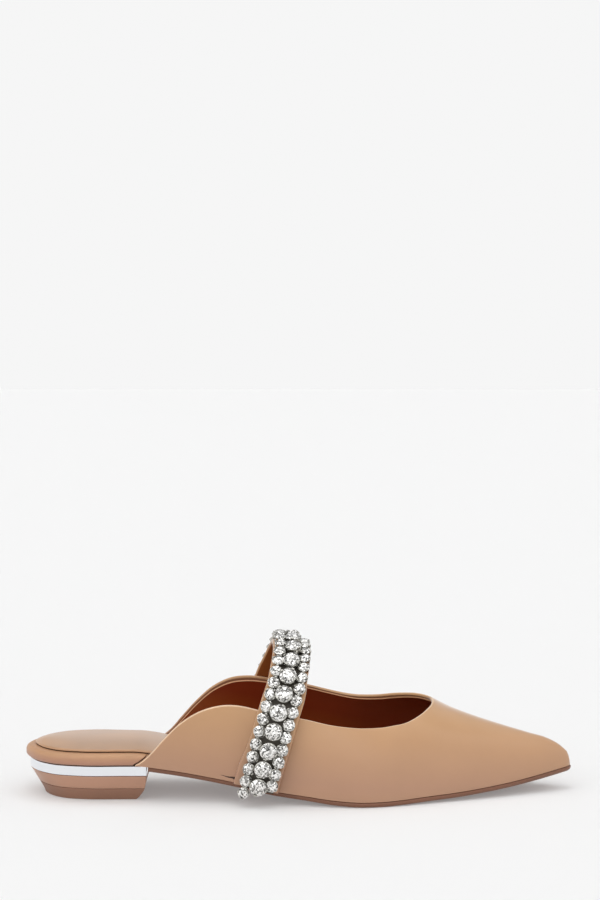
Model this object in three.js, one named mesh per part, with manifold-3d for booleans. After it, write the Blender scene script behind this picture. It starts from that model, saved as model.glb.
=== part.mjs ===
// A pointed flat mule for the right foot, with a jewelled instep strap and a low heel.
// Millimetres. While it is made, x runs from the back of the heel to the toe tip, -y is the
// outer side of the foot, and z is up from the floor. At the end the whole shoe is moved so
// that the origin lies on the floor, under the middle of its box.

import * as THREE from "three";
import { mergeVertices } from "three/addons/utils/BufferGeometryUtils.js";
import Module from "manifold-3d";

const wasm = await Module();
wasm.setup();

// Driving sizes of the last
const LENGTH = 257; // back of the heel to the toe tip
const BALL_WIDTH = 75; // across the joints
const SEAT_LIFT = 15.1; // how far the heel lifts the foot above the forefoot
const TOE_SPRING = 8.9; // how far the toe tip lifts off the floor
const INSTEP_RISE = 62.5; // feather edge to instep, under the strap
const TOE_AXIS = 4.3; // how far the toe point lies to the inner side
const WALL_SWELL = 1.35; // how far the walls stand out above the feather edge

// Driving sizes of the pieces
const FIT = 0.3; // clearance between pieces that touch
const UPPER_WALL = 1.8; // leather and lining
const OUTSOLE_THICKNESS = 2.2;
const OUTSOLE_WELT = 0.4; // the forefoot sole stands out past the upper
const OUTSOLE_WAIST_INSET = 1.0; // and lies under it at the waist
const OUTSOLE_BEVEL = 1.5;
const INSOLE_THICKNESS = 5.3; // the wrapped rim at the heel
const INSOLE_FOREPART = 3.0; // inside the upper
const SOCK_THICKNESS = 1.2;
const SOCK_MARGIN = 4.6; // bare rim round the sock at the heel
const SOCK_TOE_MARGIN = 0.8; // and inside the upper
const HEEL_LENGTH = 58.3;
const HEEL_INSET = 1.8; // the heel lies inside the rim above it
const BAND_HEIGHT = 4.7; // polished band under the seat
const TOP_PIECE_HEIGHT = 5.8; // the layer that meets the floor
const BREAST_HOLLOW = 1.2; // how far the heel's front face curves in
const STRAP_WIDTH = 19.3;
const STRAP_THICKNESS = 2.2;
const TRIM_WIDTH = 17.0; // the raised band of cups that is sewn to the strap
const TRIM_PLATE = 2.2;
const LARGE_STONE = 7.8; // diameter
const LARGE_STONE_HEIGHT = 5.4;
const SMALL_STONE = 5.1;
const SMALL_STONE_HEIGHT = 3.4;
const SMALL_STONE_OFFSET = 6.2; // from the strap's middle line
const STONE_PITCH = 8.7; // from one large stone to the next

// Sections of the last, from the heel to the toe tip. foot and top are shares of LENGTH: where
// the section leaves the feather edge and where it meets the crest. outer, inner and ridge are
// shares of BALL_WIDTH, and rise is a share of INSTEP_RISE. fullness is the exponent of the
// section's curve: 2 is an ellipse, and more is squarer. The toe's own rows are widths each
// side of TOE_AXIS.
const SECTIONS = table("foot top outer inner ridge rise fullness", [
  [0.0, 0.0, 0.0, 0.0, 0.0, 1.19, 2.4],
  [0.0175, 0.0175, 0.18, 0.18, 0.0, 1.19, 2.4],
  [0.05, 0.05, 0.3, 0.3, 0.0, 1.175, 2.4],
  [0.105, 0.105, 0.367, 0.367, 0.004, 1.14, 2.4],
  [0.187, 0.187, 0.371, 0.354, 0.008, 1.1, 2.4],
  [0.257, 0.257, 0.368, 0.327, 0.012, 1.09, 2.4],
  [0.327, 0.327, 0.371, 0.307, 0.016, 1.096, 2.4],
  [0.397, 0.397, 0.391, 0.305, 0.021, 1.06, 2.35],
  [0.459, 0.459, 0.424, 0.334, 0.027, 0.99, 2.3],
  [0.5175, 0.5175, 0.461, 0.393, 0.032, 0.926, 2.25],
  [0.572, 0.572, 0.486, 0.451, 0.037, 0.852, 2.2],
  [0.6265, 0.6265, 0.485, 0.496, 0.043, 0.778, 2.15],
  [0.681, 0.681, 0.439, 0.512, 0.048, 0.72, 2.1],
  [0.7315, 0.7315, 0.377, 0.485, 0.053, 0.659, 2.08],
  [0.782, 0.78, 0.313, 0.429, 0.056, 0.555, 2.05],
  [0.8327, 0.8288, 0.245, 0.364, 0.057, 0.464, 2.0],
  [0.8833, 0.8774, 0.175, 0.297, 0.057, 0.376, 2.0],
  [0.926, 0.922, 0.107, 0.231, 0.057, 0.296, 2.0],
  [0.961, 0.959, 0.048, 0.168, 0.057, 0.226, 2.0],
  [0.9845, 0.9837, 0.0, 0.121, 0.057, 0.15, 2.0],
  [0.9969, 0.9965, -0.032, 0.085, 0.057, 0.08, 2.0],
  [1.0, 1.0, -0.0573, 0.0573, 0.057, 0.0, 2.0],
]);

// The bottom seen from the side: lift is a share of SEAT_LIFT and spring of TOE_SPRING.
const BOTTOM = table("along lift spring", [
  [0.0, 1.0, 0.0],
  [0.2, 1.0, 0.0],
  [0.257, 0.89, 0.0],
  [0.327, 0.695, 0.0],
  [0.397, 0.47, 0.0],
  [0.459, 0.265, 0.0],
  [0.5175, 0.15, 0.0],
  [0.56, 0.06, 0.0],
  [0.6, 0.008, 0.0],
  [0.613, 0.0, 0.0],
  [0.652, 0.0, 0.0],
  [0.681, 0.0, 0.03],
  [0.7315, 0.0, 0.11],
  [0.782, 0.0, 0.18],
  [0.8327, 0.0, 0.3],
  [0.8833, 0.0, 0.47],
  [0.926, 0.0, 0.65],
  [0.961, 0.0, 0.82],
  [1.0, 0.0, 1.0],
]);

// The edge of the opening, from the outer wing's tail round the throat to the inner wing's.
// along is a share of LENGTH, and turn runs from 0 at the outer feather edge, over the crest
// at 0.5, to 1 at the inner feather edge.
const TOPLINE = table("along turn", [
  [0.2065, 0.006],
  [0.2235, 0.0095],
  [0.2375, 0.023],
  [0.257, 0.048],
  [0.288, 0.087],
  [0.327, 0.124],
  [0.378, 0.156],
  [0.428, 0.17],
  [0.498, 0.187],
  [0.56, 0.202],
  [0.615, 0.224],
  [0.662, 0.248],
  [0.7, 0.281],
  [0.728, 0.345],
  [0.7425, 0.42],
  [0.7445, 0.495],
  [0.736, 0.56],
  [0.7115, 0.607],
  [0.683, 0.65],
  [0.648, 0.696],
  [0.6, 0.733],
  [0.545, 0.753],
  [0.482, 0.77],
  [0.428, 0.79],
  [0.381, 0.818],
  [0.342, 0.856],
  [0.311, 0.9],
  [0.28, 0.946],
  [0.259, 0.974],
  [0.2405, 0.9895],
  [0.223, 0.994],
]);

// The strap's middle line, across the same turns.
const STRAP_LINE = table("turn along", [
  [0.0, 0.4277],
  [0.084, 0.4474],
  [0.182, 0.4651],
  [0.287, 0.4801],
  [0.42, 0.486],
  [0.5, 0.4838],
  [0.58, 0.481],
  [0.68, 0.472],
  [0.79, 0.4533],
  [0.9, 0.4335],
  [1.0, 0.4125],
]);

// The heel's levels below its band: height is a share of what is left of the heel, and back,
// side and front are how far it has drawn in, as shares of HEEL_LENGTH.
const HEEL_LEVELS = table("height back side front", [
  [0.0, 0.121, 0.119, 0.091],
  [0.12, 0.112, 0.104, 0.066],
  [0.48, 0.068, 0.055, 0.02],
  [0.96, 0.006, 0.004, 0.002],
  [1.0, 0.0, 0.0, 0.0],
]);

const MATERIALS = {
  leather: material(0xc4986f, 0.38, 0),
  insole: material(0xbf9674, 0.5, 0),
  sock: material(0xb9967d, 0.5, 0),
  sole: material(0x8f6c58, 0.55, 0),
  topPiece: material(0x7b5c4c, 0.6, 0),
  chrome: material(0xe6e8ec, 0.08, 1),
  crystal: material(0xe9ebe8, 0.05, 0),
};

function material(color, roughness, metalness) {
  return new THREE.MeshStandardMaterial({ color, roughness, metalness });
}

function table(columns, rows) {
  const names = columns.split(" ");
  return rows.map((row) => Object.fromEntries(names.map((name, i) => [name, row[i]])));
}

function mix(a, b, share) {
  return a + (b - a) * share;
}

function smooth(value) {
  const t = Math.min(1, Math.max(0, value));
  return t * t * (3 - 2 * t);
}

// The index of the span of xs that holds x.
function spanOf(xs, x) {
  let i = 0;
  while (i < xs.length - 2 && x > xs[i + 1]) i += 1;
  return i;
}

function hermite(y0, y1, m0, m1, h, t) {
  const t2 = t * t;
  const t3 = t2 * t;
  return (2 * t3 - 3 * t2 + 1) * y0 + (t3 - 2 * t2 + t) * h * m0
    + (3 * t2 - 2 * t3) * y1 + (t3 - t2) * h * m1;
}

// A curve through the points that never overshoots them, so that flat stretches stay flat.
function steadyCurve(xs, ys) {
  const slopes = xs.slice(1).map((x, i) => (ys[i + 1] - ys[i]) / (x - xs[i]));
  const tangents = xs.map((_, i) => {
    const before = slopes[i - 1] ?? slopes[i];
    const after = slopes[i] ?? slopes[i - 1];
    return before * after <= 0 ? 0 : (2 * before * after) / (before + after);
  });
  return (x) => {
    const i = spanOf(xs, x);
    const h = xs[i + 1] - xs[i];
    const t = Math.min(1, Math.max(0, (x - xs[i]) / h));
    return hermite(ys[i], ys[i + 1], tangents[i], tangents[i + 1], h, t);
  };
}

const column = (rows, name, scale = 1) => rows.map((row) => row[name] * scale);

const liftAt = steadyCurve(column(BOTTOM, "along", LENGTH), column(BOTTOM, "lift", SEAT_LIFT));
const springAt = steadyCurve(column(BOTTOM, "along", LENGTH), column(BOTTOM, "spring", TOE_SPRING));

// Height of the feather edge, which is where the upper, the insole and the seat begin.
function baseHeight(x) {
  return OUTSOLE_THICKNESS + FIT + liftAt(x) + springAt(x);
}

// A smooth curve through rows of numbers, with knots by the given distances. The rows before
// the first and after the last are its end conditions.
function flowingCurve(rows, knots) {
  const tangents = rows.map((row, i) => {
    if (i === 0 || i === rows.length - 1) return null;
    const h0 = knots[i] - knots[i - 1];
    const h1 = knots[i + 1] - knots[i];
    return row.map((y, c) => (((y - rows[i - 1][c]) / h0) * h1
      + ((rows[i + 1][c] - y) / h1) * h0) / (h0 + h1));
  });
  return (station) => {
    const i = Math.min(rows.length - 4, Math.max(0, Math.floor(station)));
    const j = i + 1;
    const h = knots[j + 1] - knots[j];
    return rows[j].map((y, c) => hermite(
      y, rows[j + 1][c], tangents[j][c], tangents[j + 1][c], h, station - i));
  };
}

function knotsBy(rows, distance) {
  const knots = [0];
  for (let i = 1; i < rows.length; i += 1) knots.push(knots[i - 1] + distance(rows[i - 1], rows[i]));
  return knots;
}

// The last's sections in millimetres, continued past each end by their mirror image, so that
// heel and toe come out round.
const LAST_ROWS = SECTIONS.map((row) => [
  row.foot * LENGTH,
  row.top * LENGTH,
  row.outer * BALL_WIDTH,
  row.inner * BALL_WIDTH,
  row.ridge * BALL_WIDTH,
  row.rise * INSTEP_RISE,
  row.fullness,
]);
const TIP_ROW = LAST_ROWS.at(-1);
TIP_ROW[2] = -TOE_AXIS;
TIP_ROW[3] = TOE_AXIS;

function mirrored(row, centre, odd) {
  return row.map((value, c) => (odd.includes(c) ? 2 * centre[c] - value : value));
}

const WIDTH_COLUMNS = [2, 3];
const WIDTH_AND_RISE_COLUMNS = [2, 3, 5];
const LAST_ALL = [
  mirrored(LAST_ROWS[1], LAST_ROWS[0], WIDTH_COLUMNS),
  ...LAST_ROWS,
  mirrored(LAST_ROWS.at(-2), TIP_ROW, WIDTH_AND_RISE_COLUMNS),
];
const lastRowAt = flowingCurve(LAST_ALL, knotsBy(LAST_ALL, (a, b) => Math.hypot(
  b[0] - a[0], (b[2] - a[2]) / 2, (b[3] - a[3]) / 2, (b[5] - a[5]) / 4)));
const TIP = LAST_ROWS.length - 1; // the station of the toe tip

function sectionAt(station) {
  const [foot, top, outer, inner, ridge, rise, fullness] = lastRowAt(station);
  return { foot, top, outer, inner, ridge, rise, fullness };
}

// The station whose section leaves the feather edge at x.
function stationAt(x) {
  let low = 0;
  let high = TIP;
  for (let i = 0; i < 40; i += 1) {
    const middle = (low + high) / 2;
    if (sectionAt(middle).foot < x) low = middle;
    else high = middle;
  }
  return (low + high) / 2;
}

const SWELL_PEAK = 0.325; // the highest value of sine times cosine cubed

// A point of the last. turn runs from 0 at the outer feather edge over the crest to 1.
function lastPoint(station, turn) {
  const s = sectionAt(station);
  const angle = turn * Math.PI;
  const sine = Math.max(0, Math.sin(angle));
  const cosine = Math.abs(Math.cos(angle));
  const half = (turn <= 0.5 ? -s.outer : s.inner) - s.ridge;
  const height = sine ** (2 / s.fullness);
  const swell = (WALL_SWELL / SWELL_PEAK) * (half / (BALL_WIDTH / 2)) * (s.rise / INSTEP_RISE);
  return new THREE.Vector3(
    mix(s.foot, s.top, height),
    s.ridge + half * cosine ** (2 / s.fullness) + swell * sine * cosine ** 3,
    baseHeight(s.foot) + s.rise * height,
  );
}

const STEP = 1e-3; // for slopes, in stations and turns

function lastSlopes(station, turn) {
  const s0 = Math.max(0, station - STEP);
  const s1 = Math.min(TIP, station + STEP);
  const t0 = Math.max(0, turn - STEP);
  const t1 = Math.min(1, turn + STEP);
  return {
    along: lastPoint(s1, turn).sub(lastPoint(s0, turn)).divideScalar(s1 - s0),
    round: lastPoint(station, t1).sub(lastPoint(station, t0)).divideScalar(t1 - t0),
  };
}

// The way out of the last at a point. At the toe tip every turn is one point, facing forward.
function lastNormal(station, turn) {
  if (station > TIP - STEP) return new THREE.Vector3(1, 0, 0);
  const { along, round } = lastSlopes(station, turn);
  return along.cross(round).normalize();
}

function offsetPoint(station, turn, distance) {
  return lastPoint(station, turn).addScaledVector(lastNormal(station, turn), distance);
}

// The outline of the feather edge moved in by inset, on the outer (-1) or inner (1) side.
function outlinePoint(station, side, inset) {
  const edge = (s) => {
    const row = sectionAt(s);
    return new THREE.Vector2(row.foot, side < 0 ? -row.outer : row.inner);
  };
  const at = edge(station);
  if (station < STEP) return at.add(new THREE.Vector2(inset, 0));
  if (station > TIP - STEP) return at.add(new THREE.Vector2(-inset, 0));
  const slope = edge(station + STEP / 2).sub(edge(station - STEP / 2)).normalize();
  return at.add(new THREE.Vector2(slope.y, -slope.x).multiplyScalar(side * inset));
}

// A closed solid from triangles, given as a flat list of points. It is turned so that its
// faces look outwards.
function solidOf(points) {
  const geometry = new THREE.BufferGeometry().setFromPoints(points);
  const merged = mergeVertices(geometry, 1e-4);
  const corner = (i) => new THREE.Vector3().fromBufferAttribute(merged.attributes.position, i);
  const corners = [];
  let volume = 0;
  for (let i = 0; i < merged.index.count; i += 3) {
    const [a, b, c] = merged.index.array.slice(i, i + 3);
    if (a === b || b === c || a === c) continue;
    corners.push(a, b, c);
    volume += corner(a).dot(corner(b).cross(corner(c)));
  }
  if (volume < 0) corners.reverse();
  return new wasm.Manifold(new wasm.Mesh({
    numProp: 3,
    vertProperties: merged.attributes.position.array,
    triVerts: new Uint32Array(corners),
  }));
}

function geometryOf(solid) {
  const mesh = solid.getMesh();
  const geometry = new THREE.BufferGeometry();
  geometry.setAttribute("position", new THREE.BufferAttribute(mesh.vertProperties, 3));
  geometry.setIndex(new THREE.BufferAttribute(mesh.triVerts, 1));
  geometry.computeVertexNormals();
  return geometry;
}

function pushQuad(points, a, b, c, d) {
  points.push(a, b, c, a, c, d);
}

// A solid between rings of equal count, each a closed loop seen anticlockwise from its end.
function ringSolid(rings, capStart, capEnd) {
  const points = [];
  const count = rings[0].length;
  for (let r = 1; r < rings.length; r += 1) {
    for (let i = 0; i < count; i += 1) {
      const j = (i + 1) % count;
      pushQuad(points, rings[r - 1][i], rings[r - 1][j], rings[r][j], rings[r][i]);
    }
  }
  const first = rings[0];
  const last = rings.at(-1);
  for (let i = 1; i < count - 1; i += 1) {
    if (capStart) points.push(first[0], first[i + 1], first[i]);
    if (capEnd) points.push(last[0], last[i], last[i + 1]);
  }
  return solidOf(points);
}

// A solid between two sheets of points, both [column][row], where outside faces out.
function sheetSolid(outside, inside) {
  const points = [];
  const columns = outside.length;
  const rows = outside[0].length;
  for (let c = 1; c < columns; c += 1) {
    for (let r = 1; r < rows; r += 1) {
      pushQuad(points, outside[c - 1][r - 1], outside[c][r - 1], outside[c][r], outside[c - 1][r]);
      pushQuad(points, inside[c - 1][r], inside[c][r], inside[c][r - 1], inside[c - 1][r - 1]);
    }
    pushQuad(points, inside[c - 1][0], inside[c][0], outside[c][0], outside[c - 1][0]);
    pushQuad(points, outside[c - 1][rows - 1], outside[c][rows - 1],
      inside[c][rows - 1], inside[c - 1][rows - 1]);
  }
  for (let r = 1; r < rows; r += 1) {
    pushQuad(points, outside[0][r - 1], outside[0][r], inside[0][r], inside[0][r - 1]);
    pushQuad(points, inside[columns - 1][r - 1], inside[columns - 1][r],
      outside[columns - 1][r], outside[columns - 1][r - 1]);
  }
  return solidOf(points);
}

// Positions along a curve at equal steps of its length, as values of its own parameter.
function evenSteps(curve, from, to, count) {
  const SAMPLES = 600;
  const values = [];
  const lengths = [0];
  let before = curve(from);
  for (let i = 0; i <= SAMPLES; i += 1) {
    const value = mix(from, to, i / SAMPLES);
    const point = curve(value);
    if (i > 0) lengths.push(lengths[i - 1] + point.distanceTo(before));
    before = point;
    values.push(value);
  }
  const total = lengths[SAMPLES];
  const valueAt = (length) => {
    const i = spanOf(lengths, length);
    return mix(values[i], values[i + 1], (length - lengths[i]) / (lengths[i + 1] - lengths[i]));
  };
  const steps = Array.from({ length: count + 1 }, (_, i) => valueAt((total * i) / count));
  return { steps, total, valueAt };
}

// The edge of the opening as a curve of stations and turns.
const TOPLINE_ROWS = TOPLINE.map((row) => [stationAt(row.along * LENGTH), row.turn]);
const TOPLINE_ALL = [TOPLINE_ROWS[0], ...TOPLINE_ROWS, TOPLINE_ROWS.at(-1)];
const toplineKnots = knotsBy(TOPLINE_ALL, (a, b) => Math.max(
  STEP, lastPoint(a[0], a[1]).distanceTo(lastPoint(b[0], b[1]))));
const toplineAt = flowingCurve(TOPLINE_ALL, toplineKnots);
const TOPLINE_END = TOPLINE_ROWS.length - 1;
const toplinePoint = (at) => lastPoint(...toplineAt(at));

// Where the topline crosses the crest, and where each wing leaves the straight wall.
const THROAT = TOPLINE.findIndex((row) => row.turn > 0.49);
const TOE_COLUMNS = 9; // columns that all start at the toe tip, on each side
const SIDE_COLUMNS = 38; // columns from each wing's tail to the toe tip
const UPPER_ROWS = 7;
const FAN_START = 0.36; // share of LENGTH from which the columns begin to lean to the toe

// The upper's columns on one side, each from the feather edge to the topline, as pairs of
// stations and turns. The columns stand upright at the wings and fan out round the toe.
function upperColumns(side) {
  const tail = side < 0 ? 0 : TOPLINE_END;
  const featherTurn = side < 0 ? 0 : 1;
  const all = evenSteps(toplinePoint, tail, THROAT, SIDE_COLUMNS + TOE_COLUMNS).steps;
  const feather = (station) => lastPoint(station, featherTurn);
  const tailStation = toplineAt(tail)[0];
  const edge = evenSteps(feather, tailStation, TIP, 1);
  const lengthAt = (station) => evenSteps(feather, tailStation, station, 1).total;
  const lastSide = toplineAt(all[SIDE_COLUMNS])[0];
  const slack = edge.total - lengthAt(lastSide);
  const fanStart = all.findIndex((at) => toplineAt(at)[0] > stationAt(FAN_START * LENGTH));
  return all.map((at, i) => {
    const top = toplineAt(at);
    if (i > SIDE_COLUMNS) {
      const share = (i - SIDE_COLUMNS) / TOE_COLUMNS;
      return { foot: [TIP, mix(featherTurn, 0.5, share)], top };
    }
    const lean = smooth((i - fanStart) / (SIDE_COLUMNS - fanStart));
    const reach = Math.min(edge.total, lengthAt(top[0]) + slack * lean);
    const station = i === SIDE_COLUMNS ? TIP : edge.valueAt(reach);
    return { foot: [station, featherTurn], top };
  });
}

function upperSolid() {
  const outer = upperColumns(-1);
  const inner = upperColumns(1).reverse().slice(1);
  const outside = [];
  const inside = [];
  for (const { foot, top } of [...outer, ...inner]) {
    const out = [];
    const within = [];
    for (let r = 0; r <= UPPER_ROWS; r += 1) {
      const share = r / UPPER_ROWS;
      const at = [mix(foot[0], top[0], share), mix(foot[1], top[1], share)];
      const point = lastPoint(...at);
      const normal = lastNormal(...at);
      if (r === 0) normal.setZ(0).normalize();
      out.push(point);
      within.push(point.clone().addScaledVector(normal, -UPPER_WALL));
    }
    outside.push(out);
    inside.push(within);
  }
  return sheetSolid(outside, inside);
}

// Height of the wing's edge over x, falling away behind its tail, so that pieces inside know
// where the upper covers them.
function wingHeight(x, side) {
  const rows = side < 0 ? TOPLINE_ROWS.slice(0, 8) : TOPLINE_ROWS.slice(-8).reverse();
  const edge = rows.map(([station, turn]) => lastPoint(station, turn));
  if (x <= edge[0].x) return edge[0].z - (edge[0].x - x);
  const i = spanOf(edge.map((p) => p.x), x);
  return mix(edge[i].z, edge[i + 1].z, (x - edge[i].x) / (edge[i + 1].x - edge[i].x));
}

const WING_TAIL = 0.192 * LENGTH; // from here to WING_RISE the upper's wings climb the rim
const WING_RISE = 0.255 * LENGTH;
const COVER_RAMP = 2; // over which the insole draws in behind the upper's edge

// How far the insole draws in, at one point of its side, to lie inside the upper.
function coverInset(x, z, side) {
  const covered = (wingHeight(x + COVER_RAMP, side) + COVER_RAMP - z) / COVER_RAMP;
  return (UPPER_WALL + 2 * FIT) * smooth(covered);
}

const insoleThicknessAt = steadyCurve(
  [0, 0.22, 0.42, 1].map((share) => share * LENGTH),
  [INSOLE_THICKNESS, INSOLE_THICKNESS, INSOLE_FOREPART, INSOLE_FOREPART],
);

// Stations from one x to another, at equal steps of the outline.
function stationsFrom(from, to, count) {
  const curve = (station) => {
    const p = outlinePoint(station, -1, 0);
    return new THREE.Vector3(p.x, p.y, 0);
  };
  const end = to >= LENGTH ? TIP : stationAt(to);
  return evenSteps(curve, stationAt(from), end, count).steps;
}

// A ring across the shoe from profile points on each side. profile is a list of
// [inset, height above the bottom], from the bottom to the top.
function crossRing(station, profile, pointAt) {
  const outer = profile.map((entry) => pointAt(station, -1, entry));
  const inner = profile.map((entry) => pointAt(station, 1, entry));
  return [...outer.reverse(), ...inner];
}

// The sole's edge stands out past the upper at the forefoot and lies under it at the waist.
function outsoleInset(x) {
  return mix(OUTSOLE_WAIST_INSET, -OUTSOLE_WELT, smooth((x / LENGTH - 0.48) / 0.14));
}

function outsoleSolid() {
  const top = OUTSOLE_THICKNESS;
  const profile = [
    [OUTSOLE_BEVEL, 0],
    [OUTSOLE_BEVEL * 0.3, top * 0.3],
    [0, top * 0.62],
    [0, top],
  ];
  const pointAt = (station, side, [inset, height]) => {
    const x = sectionAt(station).foot;
    const p = outlinePoint(station, side, inset + outsoleInset(x));
    return new THREE.Vector3(p.x, p.y, baseHeight(p.x) - FIT - top + height);
  };
  const rings = stationsFrom(HEEL_LENGTH + 2 * FIT, LENGTH, 46).map((s) => crossRing(s, profile, pointAt));
  return ringSolid(rings, true, false);
}

function insoleSolid() {
  const profile = [
    [1.2, 0],
    [0.25, 0.18],
    [0, 0.5],
    [0.35, 0.8],
    [1.3, 0.96],
    [2.9, 1],
  ];
  const pointAt = (station, side, [inset, share]) => {
    const x = sectionAt(station).foot;
    const thickness = insoleThicknessAt(x);
    const cover = coverInset(x, baseHeight(x) + share * thickness, side);
    const rolled = inset * (thickness / INSOLE_THICKNESS);
    const p = outlinePoint(station, side, rolled + cover);
    return new THREE.Vector3(p.x, p.y, baseHeight(p.x) + share * thickness);
  };
  const stations = [
    ...stationsFrom(0, WING_TAIL, 18),
    ...stationsFrom(WING_TAIL, WING_RISE, 12).slice(1),
    ...stationsFrom(WING_RISE, LENGTH, 32).slice(1),
  ];
  const rings = stations.map((s) => crossRing(s, profile, pointAt));
  return ringSolid(rings, false, false);
}

function sockSolid() {
  const profile = [
    [0, 0],
    [0, 0.55],
    [0.5, 0.92],
    [1.4, 1],
  ];
  const pointAt = (station, side, [inset, share]) => {
    const x = sectionAt(station).foot;
    const inside = smooth((x / LENGTH - 0.18) / 0.14);
    const margin = mix(SOCK_MARGIN, UPPER_WALL + FIT + SOCK_TOE_MARGIN, inside);
    const p = outlinePoint(station, side, margin + inset);
    const floor = baseHeight(p.x) + insoleThicknessAt(p.x) + FIT;
    return new THREE.Vector3(p.x, p.y, floor + share * SOCK_THICKNESS);
  };
  const rings = stationsFrom(0, LENGTH, 46).map((s) => crossRing(s, profile, pointAt));
  return ringSolid(rings, false, false);
}

const BREAST_POINTS = 6; // across the heel's front face
const ROUND_POINTS = 15; // from the back of the heel to its front, on each side

// One level of the heel: the seat's outline drawn in by back, side and front, and closed by
// a slightly hollow front face. heightAt gives the height over x.
function heelRing(back, side, front, heightAt) {
  const frontX = HEEL_LENGTH - front;
  const stations = stationsFrom(0, HEEL_LENGTH, ROUND_POINTS);
  const startX = HEEL_INSET + back;
  const stretch = (x) => startX + ((x - HEEL_INSET) * (frontX - startX)) / (HEEL_LENGTH - HEEL_INSET);
  const edge = (s, sign) => {
    const p = outlinePoint(s, sign, HEEL_INSET);
    const width = Math.abs(p.y);
    const x = s === stations.at(-1) ? frontX : Math.min(frontX, stretch(p.x));
    return new THREE.Vector2(x, sign * width * (1 - side / (BALL_WIDTH * 0.35)));
  };
  const outer = stations.map((s) => edge(s, -1));
  const inner = stations.slice(1).map((s) => edge(s, 1)).reverse();
  const corner = [outer.at(-1), inner[0]];
  const breast = [];
  for (let i = 1; i < BREAST_POINTS; i += 1) {
    const share = i / BREAST_POINTS;
    const hollow = BREAST_HOLLOW * 4 * share * (1 - share);
    breast.push(new THREE.Vector2(frontX - hollow, mix(corner[0].y, corner[1].y, share)));
  }
  return [...outer, ...breast, ...inner].map((p) => new THREE.Vector3(p.x, p.y, heightAt(p.x)));
}

const SEAT_BOTTOM = (x) => baseHeight(x) - FIT;
const HEEL_SEAT = baseHeight(0) - FIT;
const BAND_BOTTOM = HEEL_SEAT - BAND_HEIGHT;
const LOWER_HEIGHT = BAND_BOTTOM; // from the floor to the band

const heelBack = steadyCurve(column(HEEL_LEVELS, "height"), column(HEEL_LEVELS, "back", HEEL_LENGTH));
const heelSide = steadyCurve(column(HEEL_LEVELS, "height"), column(HEEL_LEVELS, "side", HEEL_LENGTH));
const heelFront = steadyCurve(column(HEEL_LEVELS, "height"), column(HEEL_LEVELS, "front", HEEL_LENGTH));

function lowerRing(z) {
  const share = z / LOWER_HEIGHT;
  return heelRing(heelBack(share), heelSide(share), heelFront(share), () => z);
}

function heelBandSolid() {
  const level = (heightAt) => heelRing(0, 0, 0, heightAt);
  return ringSolid([level(() => BAND_BOTTOM), level(SEAT_BOTTOM)], true, true);
}

// The tapering tiers below the band, as one solid from the floor end of each to its top.
function heelTier(bottom, top, levels) {
  const rings = [];
  for (let i = 0; i <= levels; i += 1) rings.push(lowerRing(mix(bottom, top, i / levels)));
  return ringSolid(rings, true, true);
}

// The strap's middle line over the last, and its place and directions at a distance along it.
const strapAlong = steadyCurve(column(STRAP_LINE, "turn"), column(STRAP_LINE, "along", LENGTH));
const strapStation = (turn, across) => stationAt(strapAlong(turn) + across);
const strapMiddle = (turn) => offsetPoint(strapStation(turn, 0), turn, FIT);
const STRAP_STEPS = 38;
const STRAP_SPANS = 3; // across its width
const strapRun = evenSteps(strapMiddle, 0, 1, STRAP_STEPS);

// The station at a turn of the strap, across it by a real distance.
function stationAcross(turn, across) {
  const reach = 1; // millimetres of x, to find how the surface stretches them
  const here = lastPoint(strapStation(turn, 0), turn);
  const there = lastPoint(strapStation(turn, reach), turn);
  return strapStation(turn, (across * reach) / here.distanceTo(there));
}

// A point of the strap, out from the last by lift.
function strapPoint(turn, across, lift) {
  return offsetPoint(stationAcross(turn, across), turn, lift);
}

function bandSolid(width, from, to, pointAt) {
  const outside = [];
  const inside = [];
  for (const turn of strapRun.steps) {
    const across = Array.from({ length: STRAP_SPANS + 1 },
      (_, i) => mix(-width / 2, width / 2, i / STRAP_SPANS));
    outside.push(across.map((a) => pointAt(turn, a, to)).reverse());
    inside.push(across.map((a) => pointAt(turn, a, from)).reverse());
  }
  return sheetSolid(outside, inside);
}

const STRAP_OUT = FIT + STRAP_THICKNESS; // from the last to the strap's face
const PLATE_IN = STRAP_OUT + FIT;
const PLATE_OUT = PLATE_IN + TRIM_PLATE;
const STONE_SINK = 0.45; // how deep a stone's cup is set into the plate

// The way the trim stands out from the strap: square to it along its length, and level
// from back to front.
function trimDirection(station, turn) {
  return lastNormal(station, turn).setX(0).normalize();
}

// A point of the trim, out from the last by about lift.
function trimPoint(turn, across, lift) {
  const station = stationAcross(turn, across);
  const face = offsetPoint(station, turn, STRAP_OUT);
  return face.addScaledVector(trimDirection(station, turn), lift - STRAP_OUT);
}

const trimMiddle = (turn) => trimPoint(turn, 0, PLATE_OUT);
const trimRun = evenSteps(trimMiddle, 0, 1, STRAP_STEPS);

// One stone in its cup: an upright girdle and a bevelled crown with a flat table.
function stoneGeometry(diameter, height, sides) {
  const r = diameter / 2;
  const profile = [
    [0, 0], [r * 0.88, 0], [r, height * 0.5], [r * 0.56, height], [0, height],
  ].map(([x, y]) => new THREE.Vector2(x, y));
  const geometry = new THREE.LatheGeometry(profile, sides).rotateX(Math.PI / 2);
  return geometry.toNonIndexed();
}

function stoneSolid(diameter, height, sides, place) {
  const geometry = stoneGeometry(diameter, height, sides).applyMatrix4(place);
  const points = [];
  const position = geometry.attributes.position;
  for (let i = 0; i < position.count; i += 1) {
    points.push(new THREE.Vector3().fromBufferAttribute(position, i));
  }
  return solidOf(points);
}

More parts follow.
